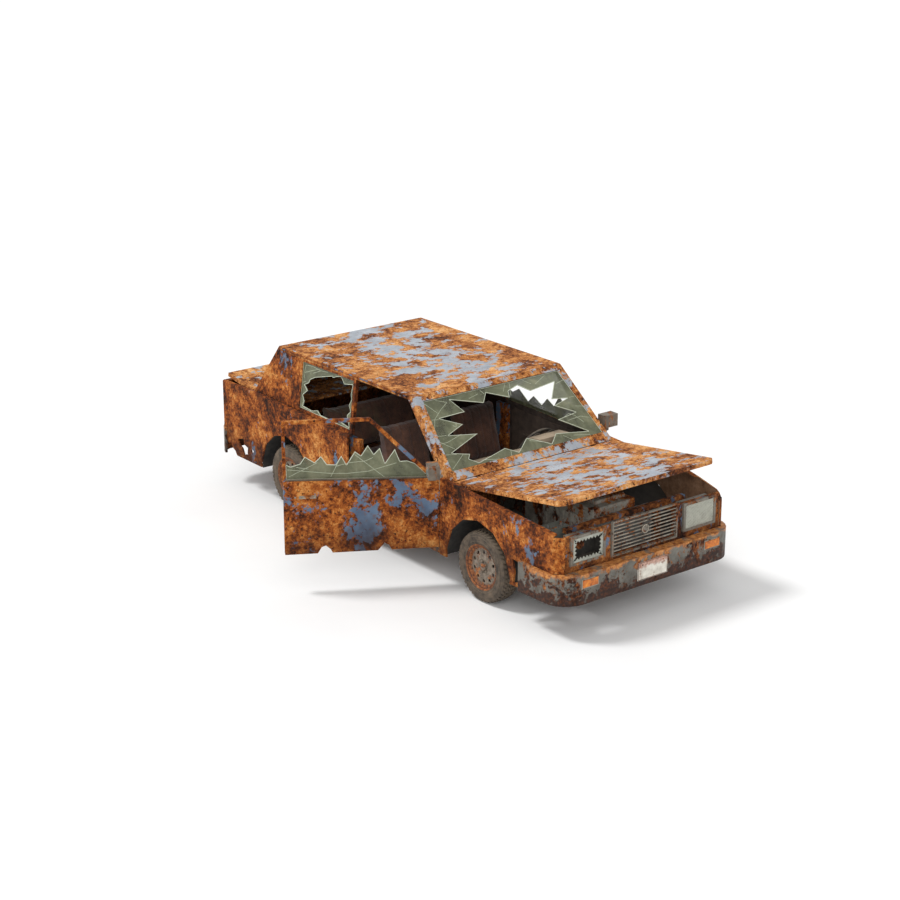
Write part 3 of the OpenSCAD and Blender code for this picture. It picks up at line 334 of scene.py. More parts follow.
def dirty_glass(name, *outward):
    """Old glass with a film of grime that thickens in blotches, and pale where its edge is bare: the bare broken
    edge, painted pale as the highlight it catches.
    """
    r = Recipe(name)
    film = r.noise(5, 9, 0.6, 0.4)
    base = r.tones(film, (0.3, "4c4d3a"), (0.5, "666a4f"), (0.7, "86866a"))
    base = r.mix(r.window(r.noise(34, 8, 0.7), 0.54, 0.68, 0, 0.3), base, "9a9c80")
    square = 0
    for direction in outward:
        square = r.maths("MAXIMUM", r.maths("ABSOLUTE", r.facing(direction)), square)
    # The pane's edge faces are pale and opaque: the bare broken edge, painted pale as a highlight
    edge = r.window(square, 0.5, 0.8, 1, 0)
    base = r.mix(edge, base, "c3cbb4")
    r.set("Alpha", r.maths("MAXIMUM", edge, r.window(film, 0.32, 0.66, 0.66, 0.9)))
    r.bump(r.noise(40, 6, 0.6), 0.08, 0.002)
    return r.finish(base, r.window(film, 0.3, 0.7, 0.22, 0.5))


def woven(name):
    """Seat cloth: a woven check of threads under stains."""
    r = Recipe(name)
    stains = r.noise(5, 9, 0.72)
    base = r.tones(stains, (0.3, "241711"), (0.45, "4a2f26"), (0.6, "6a4636"), (0.76, "8a6a52"))
    base = r.mix(r.window(r.noise(2.6, 6, 0.6), 0.56, 0.66, 0, 0.6), base, "4c4a34")
    threads = {"Vector": r.place, "Scale": 110, "Distortion": 1.2}
    weave = r.times(*(r.node("TexWave", threads, "Fac", bands_direction=way) for way in "XZ"))
    base = r.mix(r.window(weave, 0.1, 0.8, 0, 0.3), base, "8a6d55")
    r.bump(r.add(weave, r.noise(30, 6, 0.6)), 0.35, 0.002)
    r.set("Sheen Weight", 0.25)
    return r.finish(base, 0.95)


def rim_steel(name):
    """A grey wheel, rusting most at its rim and round its middle."""
    r = Recipe(name)
    where, rust, relief = rust_layers(r, 0.28, 14, (1, 1, 1), 0.03, DARK_RUST)
    metal = r.tones(r.noise(24, 8, 0.75), (0.3, "3f372f"), (0.5, "6f6457"), (0.7, "93877a"))
    base = r.mix(where, metal, rust)
    away = []
    for axis, middle in (("Y", HALF_WHEELBASE), ("Z", TYRE_RADIUS)):
        gap = r.maths("SUBTRACT", r.maths("ABSOLUTE", r.part(r.place, axis)), middle)
        away.append(r.times(gap, gap))
    wander = r.wandering(r.maths("SQRT", r.add(*away)), 30, 8, 0.7, 0.012)
    base = r.mix(r.window(wander, 0.138, 0.152), base, r.tones(r.noise(40, 8, 0.75), *DARK_RUST))
    r.bump(relief, 0.5)
    return r.finish(base, 0.75)


def pressed_glass(name):
    """Lens glass pressed with a lattice of diamonds, under grime."""
    r = Recipe(name)
    base = r.tones(r.noise(22, 9, 0.7), (0.32, "6f6f63"), (0.5, "8c8c80"), (0.7, "a3a396"))
    across, up = r.part(r.place, "X"), r.part(r.place, "Z")
    lines = 1
    for sign in (0.62, -0.62):
        phase = r.times(r.add(across, r.times(up, sign)), 210)
        lines = r.maths("MINIMUM", r.maths("ABSOLUTE", r.maths("SINE", phase)), lines)
    base = r.mix(r.window(lines, 0.15, 0.4, 0.75, 0), base, "c9cabd")
    r.bump(r.add(lines, r.noise(60, 6, 0.6)), 0.2, 0.002)
    return r.finish(base, 0.3)


DOOR_OUTWARD = (-cos(DOOR_OPEN), -sin(DOOR_OPEN), 0)
BLUE = ("4b5f78", "66798f")
PALE = ("8f969f", "b3b8bf")
LEAN = atan(CABIN_LEAN)
RIGHT_SIDE = (-cos(LEAN), 0, sin(LEAN))
LEFT_SIDE = (cos(LEAN), 0, sin(LEAN))
WINDSHIELD_OUT = (0, -sin(WINDSHIELD_SLOPE), cos(WINDSHIELD_SLOPE))
UP = (0, 0, 1)

rusted_paint("side_paint", BLUE, 0.88, 4.2, (1, 1, 0.6), lining="x", shades=SHADED_SIDE_RUST)
# The fenders' inner faces are lightened: painted light where their wheel arches lie in shade
rusted_paint("fender_paint", BLUE, 0.82, 4.2, (1, 1, 0.7), lining="x", shades=SHADED_SIDE_RUST,
             inner_face_and_painted_light=("6a4c37", "967257", "b3917a"))
rusted_paint("door_paint", BLUE, 0.64, 4, (1, 1, 0.9), (0.28, 0.6), DOOR_OUTWARD, SHADED_SIDE_RUST)
rusted_paint("left_door_paint", BLUE, 0.66, 4, (1, 1, 0.9), (0.28, 0.6), "x", SHADED_SIDE_RUST,
             inner_face_and_painted_light=("2f2823", "4c423c", "6a5c50"))
rusted_paint("top_paint", PALE, 0.58, 5, (1, 1.3, 1), lining=UP, sides=(0.15, 0.76), rim=UP)
rusted_paint("lid_paint", PALE, 0.58, 6.8, (1, 1.5, 1), lining=UP, sides=(0.25, 0.82), rim=UP)
rusted_paint("nose_paint", BLUE, 0.72, 9, (1, 1, 0.6), lining=(0, -1, 0), shades=DARK_RUST)
rusted_paint("post_paint", BLUE, 0.6, 8, (1, 1, 0.5), shades=SHADED_SIDE_RUST)
rusted_paint("frame_paint", PALE, 0.6, 6, lining=UP)
rusted_metal("bare_steel", "2f2b27", "55504a", 0.66, 6)
rusted_metal("grey_trim", "5b574f", "8a8479", 0.42, 9)
rusted_metal("slat", "7d766b", "aca596", 0.3, 13)
rusted_metal("bumper", "504e48", "7d7b73", 0.34, 7, crust=0.5, flaked=True)
rusted_metal("mirror_case", "4a443c", "85796b", 0.42, 14)
# Grey engine metal, lightened as painted light where the hood's shade falls on the engine
rusted_metal("iron", "8b867c", "c0baae", 0.44, 9, SHADED_SIDE_RUST)
rusted_metal("fins", "5a5a58", "8b8b88", 0.35, 9)
dirty_glass("glass_front", WINDSHIELD_OUT)
dirty_glass("glass_side", RIGHT_SIDE, LEFT_SIDE)
dirty_glass("glass_open", DOOR_OUTWARD)
dirty_glass("glass_back", (0, 0.7, 0.7))
plain_dull("crack", "989f86", "bcc2aa", 0.5, 40, dust_and_top_light_share=0, relief=0.1)
# Strips along broken glass edges, pale as a painted highlight on the bare edge
plain_dull("glass_edge_highlight", "b3bba2", "d3d9c6", 0.4, 40, dust_and_top_light_share=0, relief=0.1)
plain_dull("lens_rim", "83857a", "aeb0a4", 0.3, 26, "7a6a55", 0.2, 0.06)
plain_dull("mirror_glass", "6c7372", "9aa09f", 0.12, 9, dust_and_top_light_share=0.1, relief=0.02)
# Dark wheel tubs; the lighter tone on their upward faces is painted light from above
plain_dull("tub_black", "171615", "34312d", 0.8, dust_and_top_light="4a4640", dust_and_top_light_share=0.5)
# Near-black bowls behind the headlight lenses: painted shade
plain_dull("hollow", "1b1916", "38342e", 0.85, 20, dust_and_top_light_share=0.1)
plain_dull("black_case", "55574f", "80827a", 0.6, dust_and_top_light="94948a")
plain_dull("cabin", "3a302a", "5c4e44", 0.78)
plain_dull("board", "7d6e5d", "a8967f", 0.75, 11, "a8967f", 0.45)
plain_dull("wheel_black", "1d1a18", "35302b", 0.55)
plain_dull("rubber", "2f2a25", "67594a", 0.92, 16, "857662", 0.3)
pressed_glass("lens")
signal_plastic("lamp")
plate_enamel("enamel")
woven("cloth")
rim_steel("wheel_steel")

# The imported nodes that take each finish. A name stands for every node that begins with it; the longest counts.
NODE_FINISH = {
    "side_paint": "quarter rear_panel",
    "fender_paint": "fender",
    "door_paint": "door_right",
    "left_door_paint": "door_left",
    "top_paint": "roof",
    "lid_paint": "hood trunk_lid",
    "nose_paint": "nose_panel",
    "post_paint": "door_pillars",
    "frame_paint": "rear_deck windshield_frame",
    "bare_steel": "floor_pan trunk_floor chassis_legs firewall front_axle rear_axle drive_shaft fuel_tank "
                  "exhaust knuckle",
    "grey_trim": "grille headlights",
    "bumper": "front_bumper rear_bumper",
    "mirror_case": "mirror",
    "iron": "engine",
    "fins": "radiator",
    "glass_front": "windshield",
    "glass_side": "quarter_glass door_left_glass",
    "glass_open": "door_right_glass",
    "glass_back": "rear_window",
    "tub_black": "front_wheel_tubs rear_wheel_tubs",
    "black_case": "battery",
    "board": "dashboard",
    "wheel_black": "steering_wheel",
    "rubber": "tyre",
    "lamp": "signal_lamps",
    "enamel": "number_plates",
    "cloth": "driver_seat passenger_seat rear_seat",
    "wheel_steel": "rim"}
finish_of = {start: finish for finish, starts in NODE_FINISH.items() for start in starts.split()}

for node_name, piece in nodes.items():
    start = max((s for s in finish_of if node_name.startswith(s)), key=len)
    for place in piece.material_slots:
        place.material = finishes[finish_of[start]]


# ---- building and placing pieces

# Faces of a box whose eight corners are two loops of four
BOX_FACES = [(0, 1, 2, 3), (7, 6, 5, 4), (0, 4, 5, 1), (1, 5, 6, 2), (2, 6, 7, 3), (3, 7, 4, 0)]


def placed(name, data):
    """A new object in the scene."""
    piece = bpy.data.objects.new(name, data)
    bpy.context.scene.collection.objects.link(piece)
    return piece


def rectangle(low, high):
    return [(low[0], low[1]), (high[0], low[1]), (high[0], high[1]), (low[0], high[1])]


def hexagon(a, b, radius):
    return [(a + radius * cos(tau * k / 6), b + radius * sin(tau * k / 6)) for k in range(6)]


class Shape:
    """A mesh being built, in metres in the frame's own coordinates."""

    def __init__(self):
        self.bm = bmesh.new()

    def add(self, points, faces):
        corners = [self.bm.verts.new(p) for p in points]
        for face in faces:
            self.bm.faces.new([corners[i] for i in face])

    def prism(self, outline, low, high, place):
        """An outline of (a, b) points between two depths, where place(a, b, depth) gives a point."""
        count = len(outline)
        points = [place(a, b, depth) for depth in (low, high) for a, b in outline]
        ends = [tuple(range(count)), tuple(reversed(range(count, 2 * count)))]
        sides = [((i + 1) % count, i, count + i, count + (i + 1) % count) for i in range(count)]
        self.add(points, ends + sides)

    def block(self, low, high, place=Vector):
        """A box between two corners; place turns a point into its real place."""
        self.prism(rectangle(low, high), low[2], high[2], lambda a, b, depth: place((a, b, depth)))

    def line(self, points, width, low, high, place):
        """A flat strip along points, as used for cracks."""
        for start, end in zip(points, points[1:]):
            along = (Vector(end) - Vector(start)).normalized()
            across = Vector((-along.y, along.x)) * width / 2
            a, b = Vector(start) - along * width / 3, Vector(end) + along * width / 3
            self.prism([a - across, b - across, b + across, a + across], low, high, place)

    def turn(self, profile, steps, place):
        """A closed (radius, along) profile turned round an axis; place(radius, angle, along) gives a point."""
        count = len(profile)
        points = [place(radius, tau * s / steps, along) for s in range(steps) for radius, along in profile]
        faces = []
        for s in range(steps):
            here, there = s * count, (s + 1) % steps * count
            faces += [(here + i, here + (i + 1) % count, there + (i + 1) % count, there + i) for i in range(count)]
        self.add(points, faces)

    def tube(self, points, radius, sides):
        """A round bar or hose along points, closed at both ends."""
        points = [Vector(p) for p in points]
        rings = []
        for i, point in enumerate(points):
            along = (points[min(i + 1, len(points) - 1)] - points[max(i - 1, 0)]).normalized()
            side = (side - along * side.dot(along)).normalized() if rings else along.orthogonal().normalized()
            up = along.cross(side)
            rings += [point + (side * cos(tau * k / sides) + up * sin(tau * k / sides)) * radius
                      for k in range(sides)]
        faces = [(i * sides + k, i * sides + (k + 1) % sides, (i + 1) * sides + (k + 1) % sides,
                  (i + 1) * sides + k) for i in range(len(points) - 1) for k in range(sides)]
        last = (len(points) - 1) * sides
        self.add(rings, faces + [tuple(reversed(range(sides))), tuple(range(last, last + sides))])

    def mesh(self, name):
        """The mesh with its faces turned outward. This uses the shape up."""
        mesh = bpy.data.meshes.new(name)
        bmesh.ops.recalc_face_normals(self.bm, faces=self.bm.faces)
        self.bm.to_mesh(mesh)
        self.bm.free()
        return mesh

    def piece(self, name, finish, slot, body="body", bevel=0, smooth=False):
        """The finished object, riding on its body."""
        mesh = self.mesh(name)
        mesh.materials.append(finishes[finish])
        if smooth:
            mesh.shade_smooth()
        done = placed(name, mesh)
        if bevel:
            edge = done.modifiers.new("edges", "BEVEL")
            edge.width = bevel
            edge.segments = 2
            edge.limit_method = "ANGLE"
        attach(done, body)
        return done


def round_across(x, y, z, way=-1):
    """Places a turned profile on an axis along the car; way is -1 for one that faces the front."""
    return lambda r, a, out: Vector((x + r * cos(a), y + way * out, z + r * sin(a)))


def round_upright(x, y, z):
    return lambda r, a, up: Vector((x + r * cos(a), y + r * sin(a), z + up))


def on_windshield(across, up, depth):
    """A place on the sloping windshield; depth is measured outward from its frame's face."""
    slope = WINDSHIELD_SLOPE
    return Vector((across, WINDSHIELD_FOOT[0] + up * cos(slope) - depth * sin(slope),
                   WINDSHIELD_FOOT[1] + up * sin(slope) + depth * cos(slope)))


def cabin_x(z):
    """Half width of the leaning cabin side at a height."""
    return ROOF_X + (ROOF_Z - z) * CABIN_LEAN


def on_left_pane(y, z, depth):
    return Vector((cabin_x(z) + depth, y, z))


def on_right_pane(y, z, depth):
    return Vector((-cabin_x(z) - depth, y, z))


def opened(point):
    """Where a point of the left door, closed, comes to lie on the open right door."""
    turn = Matrix.Rotation(DOOR_OPEN, 3, "Z")
    return turn @ Vector((-point[0], point[1], point[2])) - turn @ DOOR_HINGE + DOOR_HINGE


def on_open_pane(y, z, depth):
    return opened(on_left_pane(y, z, depth))


def ajar(pivot, angle):
    """A function that swings a point of a closed lid to where the lid stands."""
    centre = Vector((0, *pivot))
    turn = Matrix.Rotation(angle, 3, "X")
    return lambda point: turn @ (Vector(point) - centre) + centre


# ---- cracked glass

CRACK_W = 0.0032
EDGE_W = 0.0042
# Cracks in millimetres: points as a,b in a run, and a semicolon between runs. On the windshield they are
# places across from its middle and up from its foot; on a side, y and height.
WINDSHIELD_CRACKS = """
    -130,720 -110,680; 130,720 80,660; 180,720 130,610; -270,670 -170,690; -580,720 -490,680 -580,630
    -680,560 -740,460; -650,550 -710,560; -550,470 -530,450 -510,490; -660,400 -740,410; -750,360 -650,270;
    -750,340 -680,340 -520,380; -600,210 -760,110; -460,120 -300,90; -160,140 -180,90; 60,180 180,140
    240,100; 400,150 470,90; 500,130 660,100; 530,270 670,280 750,250; 620,620 720,640; 420,660 560,720;
    320,720 380,670; 520,310 570,330 620,300 670,220; 670,470 740,470; 680,380 760,360; -700,720 -620,600;
    -760,240 -660,220"""
RIGHT_DOOR_CRACKS = """
    340,995 160,971 10,952 -120,946 -280,955 -410,987 -500,1010; -30,1005 -130,1028 -260,1036 -320,1060;
    -70,1070 10,925; -180,1090 -410,900; 330,940 110,1040; 270,1010 180,994"""
LEFT_DOOR_CRACKS = """
    -580,1000 -360,945 -100,930 160,955 320,1000; -480,1060 -300,930; -340,1090 -420,920; 40,925 170,1020;
    -200,1010 20,960"""
REAR_SIDE_CRACKS = """
    1120,1335 1030,1345 900,1335 800,1345; 1120,1335 1140,1260 1130,1220; 1130,1270 950,1335; 1010,1290
    910,1330; 1150,1180 1100,1200"""


def cracks(name, runs, depth, place, body):
    shape = Shape()
    for run in runs.split(";"):
        points = [tuple(int(number) / 1000 for number in point.split(",")) for point in run.split()]
        shape.line(points, CRACK_W, depth, depth + 0.0006, place)
    shape.piece(name, "crack", "dirty_glass", body)


def glass_edge_highlights(node, body, *outward):
    """A pale strip along every broken edge of a pane, on its outer face: the bare edge, painted pale as the
    highlight it catches.
    """
    pane = bmesh.new()
    pane.from_mesh(nodes[node].data)
    bmesh.ops.remove_doubles(pane, verts=pane.verts, dist=0.000002)
    pane.normal_update()
    shape = Shape()
    for direction in outward:
        out = Vector(direction).normalized()
        for edge in pane.edges:
            flat = [face for face in edge.link_faces if face.normal.dot(out) > 0.95]
            side = [face for face in edge.link_faces if abs(face.normal.dot(out)) < 0.3]
            if len(flat) != 1 or len(side) != 1:
                continue
            start, end = (corner.co.copy() for corner in edge.verts)
            into = -side[0].normal * EDGE_W
            quad = [start, end, end + into, start + into]
            shape.add([corner + out * depth for depth in (-0.001, 0.0007) for corner in quad], BOX_FACES)
    pane.free()
    shape.piece(node + "_glass_edge_highlights", "glass_edge_highlight", "dirty_glass", body)


glass_edge_highlights("windshield", "body", WINDSHIELD_OUT)
glass_edge_highlights("rear_window", "body", (0, 0.71, 0.71))
glass_edge_highlights("quarter_glass", "body", RIGHT_SIDE, LEFT_SIDE)
glass_edge_highlights("door_left_glass", "door_left", LEFT_SIDE)
glass_edge_highlights("door_right_glass", "door_right", DOOR_OUTWARD)
cracks("windshield_cracks", WINDSHIELD_CRACKS, -0.0109, on_windshield, "body")
cracks("right_door_cracks", RIGHT_DOOR_CRACKS, -0.0099, on_open_pane, "door_right")
cracks("left_door_cracks", LEFT_DOOR_CRACKS, -0.0099, on_left_pane, "door_left")
cracks("rear_side_cracks", REAR_SIDE_CRACKS, -0.0119, on_right_pane, "body")


# ---- wheels

def wheel_place(side, centre):
    """A function from radius, angle and distance outward to a place on a wheel."""
    return lambda radius, angle, out: Vector((centre.x + side * out, centre.y + radius * sin(angle),
                                              centre.z + radius * cos(angle)))


def tyre_middle(where):
    low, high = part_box("tyre_" + where)
    return (Vector(low) + Vector(high)) / 2


def make_tyre(where, side):
    low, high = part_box("tyre_" + where)
    place = wheel_place(side, tyre_middle(where))
    radius = (high[2] - low[2]) / 2
    half = (high[0] - low[0]) / 2
    bead = radius - 0.118
    groove = 0.012
    wall = [(bead + up, half - inset) for up, inset in (
        (0, 0.022), (0.006, 0.012), (0.016, 0.008), (0.03, 0.005), (0.032, 0.002), (0.037, 0.002), (0.039, 0.004),
        (0.056, 0.001), (0.068, 0.001), (0.07, 0), (0.074, 0), (0.076, 0.003))]
    wall += [(radius - 0.026, half - 0.008), (radius - 0.014, half - 0.016), (radius - groove, half - 0.03)]
    tyre = Shape()
    tyre.turn(wall + [(r, -out) for r, out in reversed(wall)], 120, place)
    # Tread: ribs of blocks round the middle, and longer blocks over each shoulder
    pitch = tau / TREAD_BLOCKS
    for row, (inner, outer, skew) in enumerate(((0.004, 0.02, 0.3), (0.026, 0.043, -0.3), (0.049, 0.0745, 0.5))):
        drop = 0.0015 + (0.01 if outer > 0.06 else 0)
        for hand in (-1, 1):
            for i in range(TREAD_BLOCKS):
                start = (i + row * 0.5 + (0.25 if hand > 0 else 0)) * pitch
                corners = [(start, inner), (start + pitch * 0.6, inner), (start + pitch * (0.6 + skew), outer),
                           (start + pitch * skew, outer)]
                tops = [radius - 0.0006 - (drop if out == outer else 0.0006 * row) for _, out in corners]
                points = [place(radius - groove - 0.012, angle, hand * out) for angle, out in corners]
                points += [place(top, angle, hand * out) for top, (angle, out) in zip(tops, corners)]
                tyre.add(points, BOX_FACES)
    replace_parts(tyre.piece("treaded_tyre_" + where, "rubber", "old_tyre", "wheel_" + where), "tyre_" + where)


def make_hub(where, side):
    """Five nuts, the cap in the middle and the rolled bead at the rim's edge."""
    low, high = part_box("rim_" + where)
    centre = tyre_middle(where)
    place = wheel_place(side, centre)
    hub = Shape()
    for i in range(5):
        middle = tau * i / 5
        hub.prism(hexagon(0.046 * cos(middle), 0.046 * sin(middle), 0.0095), 0.044, 0.062,
                  lambda a, b, out: Vector((centre.x + side * out, centre.y + a, centre.z + b)))
    hub.turn([(0, 0.07), (0.014, 0.069), (0.024, 0.064), (0.029, 0.055), (0.03, 0.04), (0, 0.04)], 32, place)
    hub.piece("hub_" + where, "wheel_steel", "rusted_rim", "wheel_" + where, 0.0012)
    bead = Shape()
    edge = (high[2] - low[2]) / 2
    bead.turn([(edge - 0.022, 0.062), (edge - 0.019, 0.068), (edge - 0.01, 0.0725), (edge - 0.004, 0.076),
               (edge - 0.004, 0.07), (edge - 0.012, 0.064)], 96, place)
    bead.piece("bead_" + where, "bare_steel", "rusted_rim", "wheel_" + where, smooth=True)


for end in ("front", "rear"):
    for hand, side in (("right", -1), ("left", 1)):
        make_tyre(f"{end}_{hand}", side)
        make_hub(f"{end}_{hand}", side)


# ---- lights, plates and grille

def upright(y):
    """Places an (x, z) outline on a plane across the car, with depth towards the front."""
    return lambda x, z, depth: Vector((x, y - depth, z))


def broken_lens(low, high):
    """The outer and inner outlines of the lens left in the right headlight: ragged inside."""
    rng = random.Random(7)
    least = 0.016
    corners = [Vector(corner) for corner in rectangle(low, high)]
    outer, inner = [], []
    for i in range(4):
        start, end = corners[i], corners[(i + 1) % 4]
        along = (end - start).normalized()
        inward = Vector((-along.y, along.x))
        steps = max(4, round((end - start).length / 0.016))
        for step in range(steps):
            at = start.lerp(end, step / steps)
            bitten = at + inward * (0.015 + (0.02 if step % 2 else 0) + rng.uniform(-0.004, 0.004))
            outer.append(at)
            inner.append(Vector([min(max(b, l + least), h - least) for b, l, h in zip(bitten, low, high)]))
    return outer, inner


def make_lights():
    low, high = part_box("headlights")
    front = low[1]
    x0, x1 = high[0] - 0.321, high[0] - 0.024
    z0, z1 = low[2] + 0.021, high[2] - 0.021
    outer, inner = broken_lens((-x1, z0), (-x0, z1))
    rim = Shape()
    for i in range(len(outer)):
        j = (i + 1) % len(outer)
        rim.prism([outer[i], outer[j], inner[j], inner[i]], 0, 0.005, upright(front + 0.01))
    rim.piece("broken_lens", "lens_rim", "lamp_plastic")
    # The bowl behind each lens: a back and four walls, dark with painted shade
    bowl = Shape()
    back = front + 0.1035
    for hand in (-1, 1):
        a, b = sorted((hand * x0, hand * x1))
        bowl.block((a - 0.002, back - 0.006, z0 - 0.002), (b + 0.002, back + 0.0005, z1 + 0.002))
        for x in (a, b):
            bowl.block((x - 0.002, front + 0.022, z0 + 0.001), (x + 0.002, back, z1 - 0.001))
        for z in (z0, z1):
            bowl.block((a, front + 0.022, z - 0.002), (b, back, z + 0.002))
    bowl.piece("reflectors", "hollow", "lamp_plastic")
    # The whole lens on the left is pressed in a diamond pattern
    lens = Shape()
    across, up = 50, 32
    points = []
    for row in range(up + 1):
        for column in range(across + 1):
            edge = row in (0, up) or column in (0, across)
            raised = 0 if edge else 0.0026 if (row + column) % 2 else 0.0006
            points.append((x0 + 0.001 + (x1 - x0 - 0.002) * column / across, front + 0.0036 - raised,
                           z0 + 0.001 + (z1 - z0 - 0.002) * row / up))
    faces = []
    for row in range(up):
        for column in range(across):
            a = row * (across + 1) + column
            b, c, d = a + 1, a + across + 2, a + across + 1
            faces += [(a, b, c), (a, c, d)] if (row + column) % 2 else [(a, b, d), (b, c, d)]
    lens.add(points, faces)
    lens.piece("pressed_lens", "lens", "lamp_plastic")
    bulb = Shape()
    for hand in (-1, 1):
        bulb.turn([(0, 0), (0.04, 0), (0.04, 0.006), (0.022, 0.008), (0.018, 0.03), (0.008, 0.036),
                   (0, 0.036)], 24, round_across(hand * (x0 + x1) / 2, front + 0.098, (z0 + z1) / 2))
    bulb.piece("bulb_holders", "bare_steel", "rusted_steel")


def make_lamps():
    """Bezels round the front signal lamps and ribs across the rear ones."""
    low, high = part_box("signal_lamps")
    ribs, bezel = Shape(), Shape()
    z0, z1, w = 0.406, 0.48, 0.006
    for hand in (-1, 1):
        x0, x1 = sorted((hand * 0.546, hand * 0.712))
        for a, b in (((x0, z0), (x1, z0 + w)), ((x0, z1 - w), (x1, z1)),
                     ((x0, z0 + w), (x0 + w, z1 - w)), ((x1 - w, z0 + w), (x1, z1 - w))):
            bezel.prism(rectangle(a, b), -0.01, -0.002, upright(low[1]))
        x0, x1 = sorted((hand * 0.548, hand * 0.806))
        for i in range(9):
            z = 0.665 + i * 0.022
            ribs.prism(rectangle((x0, z), (x1, z + 0.008)), -0.0018, 0.0002, upright(high[1]))
    ribs.piece("lamp_ribs", "lamp", "lamp_plastic", bevel=0.0005)
    bezel.piece("lamp_bezels", "slat", "weathered_trim", bevel=0.001)


def make_plates():
    """A raised rim and two bolts on each bare plate."""
    low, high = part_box("number_plates")
    w, h, t = 0.15, 0.139, 0.004
    for name, y, z, hand in (("front", low[1], FRONT_PLATE_Z, 1), ("rear", high[1], REAR_PLATE_Z, -1)):
        rim = Shape()
        for a, b in (((-w, z + 0.002), (w, z + 0.006)), ((-w, z + h - t), (w, z + h)),
                     ((-w, z + 0.002), (-w + t, z + h)), ((w - t, z + 0.002), (w, z + h))):
            rim.prism(rectangle(a, b), hand * -0.0002, hand * 0.0012, upright(y))
        for x in (-0.105, 0.105):
            rim.prism(hexagon(x, z + 0.118, 0.007), hand * -0.0002, hand * 0.0018, upright(y))
        rim.piece(name + "_plate_rim", "bare_steel", "plate_enamel", bevel=0.0006)


def make_grille():
    """Rolled lips on the slats, broken round the badge, and the raised ring of the bare round badge."""
    low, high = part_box("grille")
    trim = Shape()
    y = low[1] + 0.005
    slats = 9
    pitch = (high[2] - low[2] - 0.024) / slats
    for i in range(1, slats):
        z = low[2] + 0.0145 + i * pitch
        gap = sqrt(max(0, 0.043 ** 2 - (z - BADGE_Z) ** 2))
        for hand in (-1, 1):
            trim.tube([(hand * x, y, z) for x in (gap, 0.2, 0.322)], 0.0048, 8)
    trim.turn([(0.026, 0), (0.036, 0), (0.0365, 0.003), (0.033, 0.0045), (0.028, 0.0035)], 40,
              round_across(0, low[1] + 0.0012, BADGE_Z))
    trim.piece("grille_lips", "slat", "weathered_trim", smooth=True)


make_lights()
make_lamps()
make_plates()
make_grille()


# ---- seats

def padded_block(low, high, profile):
    """A crowned cushion: a closed block in side view, blown up as cloth. The profile is (y, z) points."""
    shape = Shape()
    shape.prism(profile, low, high, lambda y, z, x: Vector((x, y, z)))
    pad = placed("pad", shape.mesh("pad"))
    remesh = pad.modifiers.new("remesh", "REMESH")
    remesh.mode = "VOXEL"
    remesh.voxel_size = PAD_VOXEL
    apply_modifiers(pad)
    before = [v.co.copy() for v in pad.data.vertices]
    cloth = pad.modifiers.new("cloth", "CLOTH")
    cloth.settings.use_pressure = True
    cloth.settings.uniform_pressure_force = PAD_PRESSURE
    cloth.settings.effector_weights.gravity = 0
    for frame_number in range(1, PAD_FRAMES + 1):
        bpy.context.scene.frame_set(frame_number)
    apply_modifiers(pad)
    for vertex, start in zip(pad.data.vertices, before):
        moved = vertex.co - start
        if moved.length > PAD_SWELL:
            vertex.co = start + moved.normalized() * PAD_SWELL
    bpy.context.scene.frame_set(1)
    return pad


def apply_modifiers(piece):
    graph = bpy.context.evaluated_depsgraph_get()
    graph.update()
    piece.data = bpy.data.meshes.new_from_object(piece.evaluated_get(graph))
    piece.modifiers.clear()


def sew(mesh, centre_x, half_w, channels):
    """Presses sewn channels, running fore and aft, into a cushion, and a welt round its sides."""
    normals = [vertex.normal.copy() for vertex in mesh.vertices]
    for vertex, normal in zip(mesh.vertices, normals):
        x = vertex.co.x - centre_x
        push = 0.004 * exp(-((abs(x) - half_w * 0.93) / 0.005) ** 2)
        push -= sum(0.007 * exp(-((x - channel * half_w) / 0.007) ** 2) for channel in channels)
        vertex.co += normal * push
    mesh.shade_smooth()


def make_seats():
    low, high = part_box("driver_seat")
    centre = (low[0] + high[0]) / 2
    half = (high[0] - low[0]) / 2
    inset = 0.018
    floor = low[2]
    # Each profile is y, and height over the floor
    for part, profile in (
            ("cushion", ((-0.315, 0.11), (-0.322, 0.168), (0.11, 0.16), (0.2, 0.16), (0.215, 0.11))),
            ("back", ((0.15, 0.205), (0.175, 0.2), (0.248, 0.2), (0.318, 0.5), (0.35, 0.668),
                      (0.286, 0.662)))):
        pad = padded_block(centre - half + inset, centre + half - inset, [(y, floor + z) for y, z in profile])
        sew(pad.data, centre, half, (-0.55, -0.18, 0.18, 0.55))
        for who, across in (("driver", 0), ("passenger", -2 * centre)):
            seat = placed(f"{who}_{part}", pad.data.copy())
            seat.data.transform(Matrix.Translation((across, 0, 0)))
            dress_pad(seat, f"{who}_seat")
        bpy.data.objects.remove(pad)
    rails = Shape()
    for hand in (-1, 1):
        for x in (hand * (centre - 0.155), hand * (centre + 0.155)):
            rails.block((x - 0.014, -0.248, floor + 0.001), (x + 0.014, 0.15, floor + 0.018))
            rails.tube([(x, -0.23, floor + 0.014), (x, -0.225, floor + 0.085), (x, 0.125, floor + 0.085),
                        (x, 0.13, floor + 0.014)], 0.009, 10)
    rails.piece("seat_rails", "bare_steel", "rusted_steel", bevel=0.0015)


def dress_pad(seat, node):
    seat.data.materials.clear()
    seat.data.materials.append(finishes["cloth"])
    soft = seat.modifiers.new("soft", "SUBSURF")
    soft.levels = soft.render_levels = 1
    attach(seat, "body")
    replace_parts(seat, node)


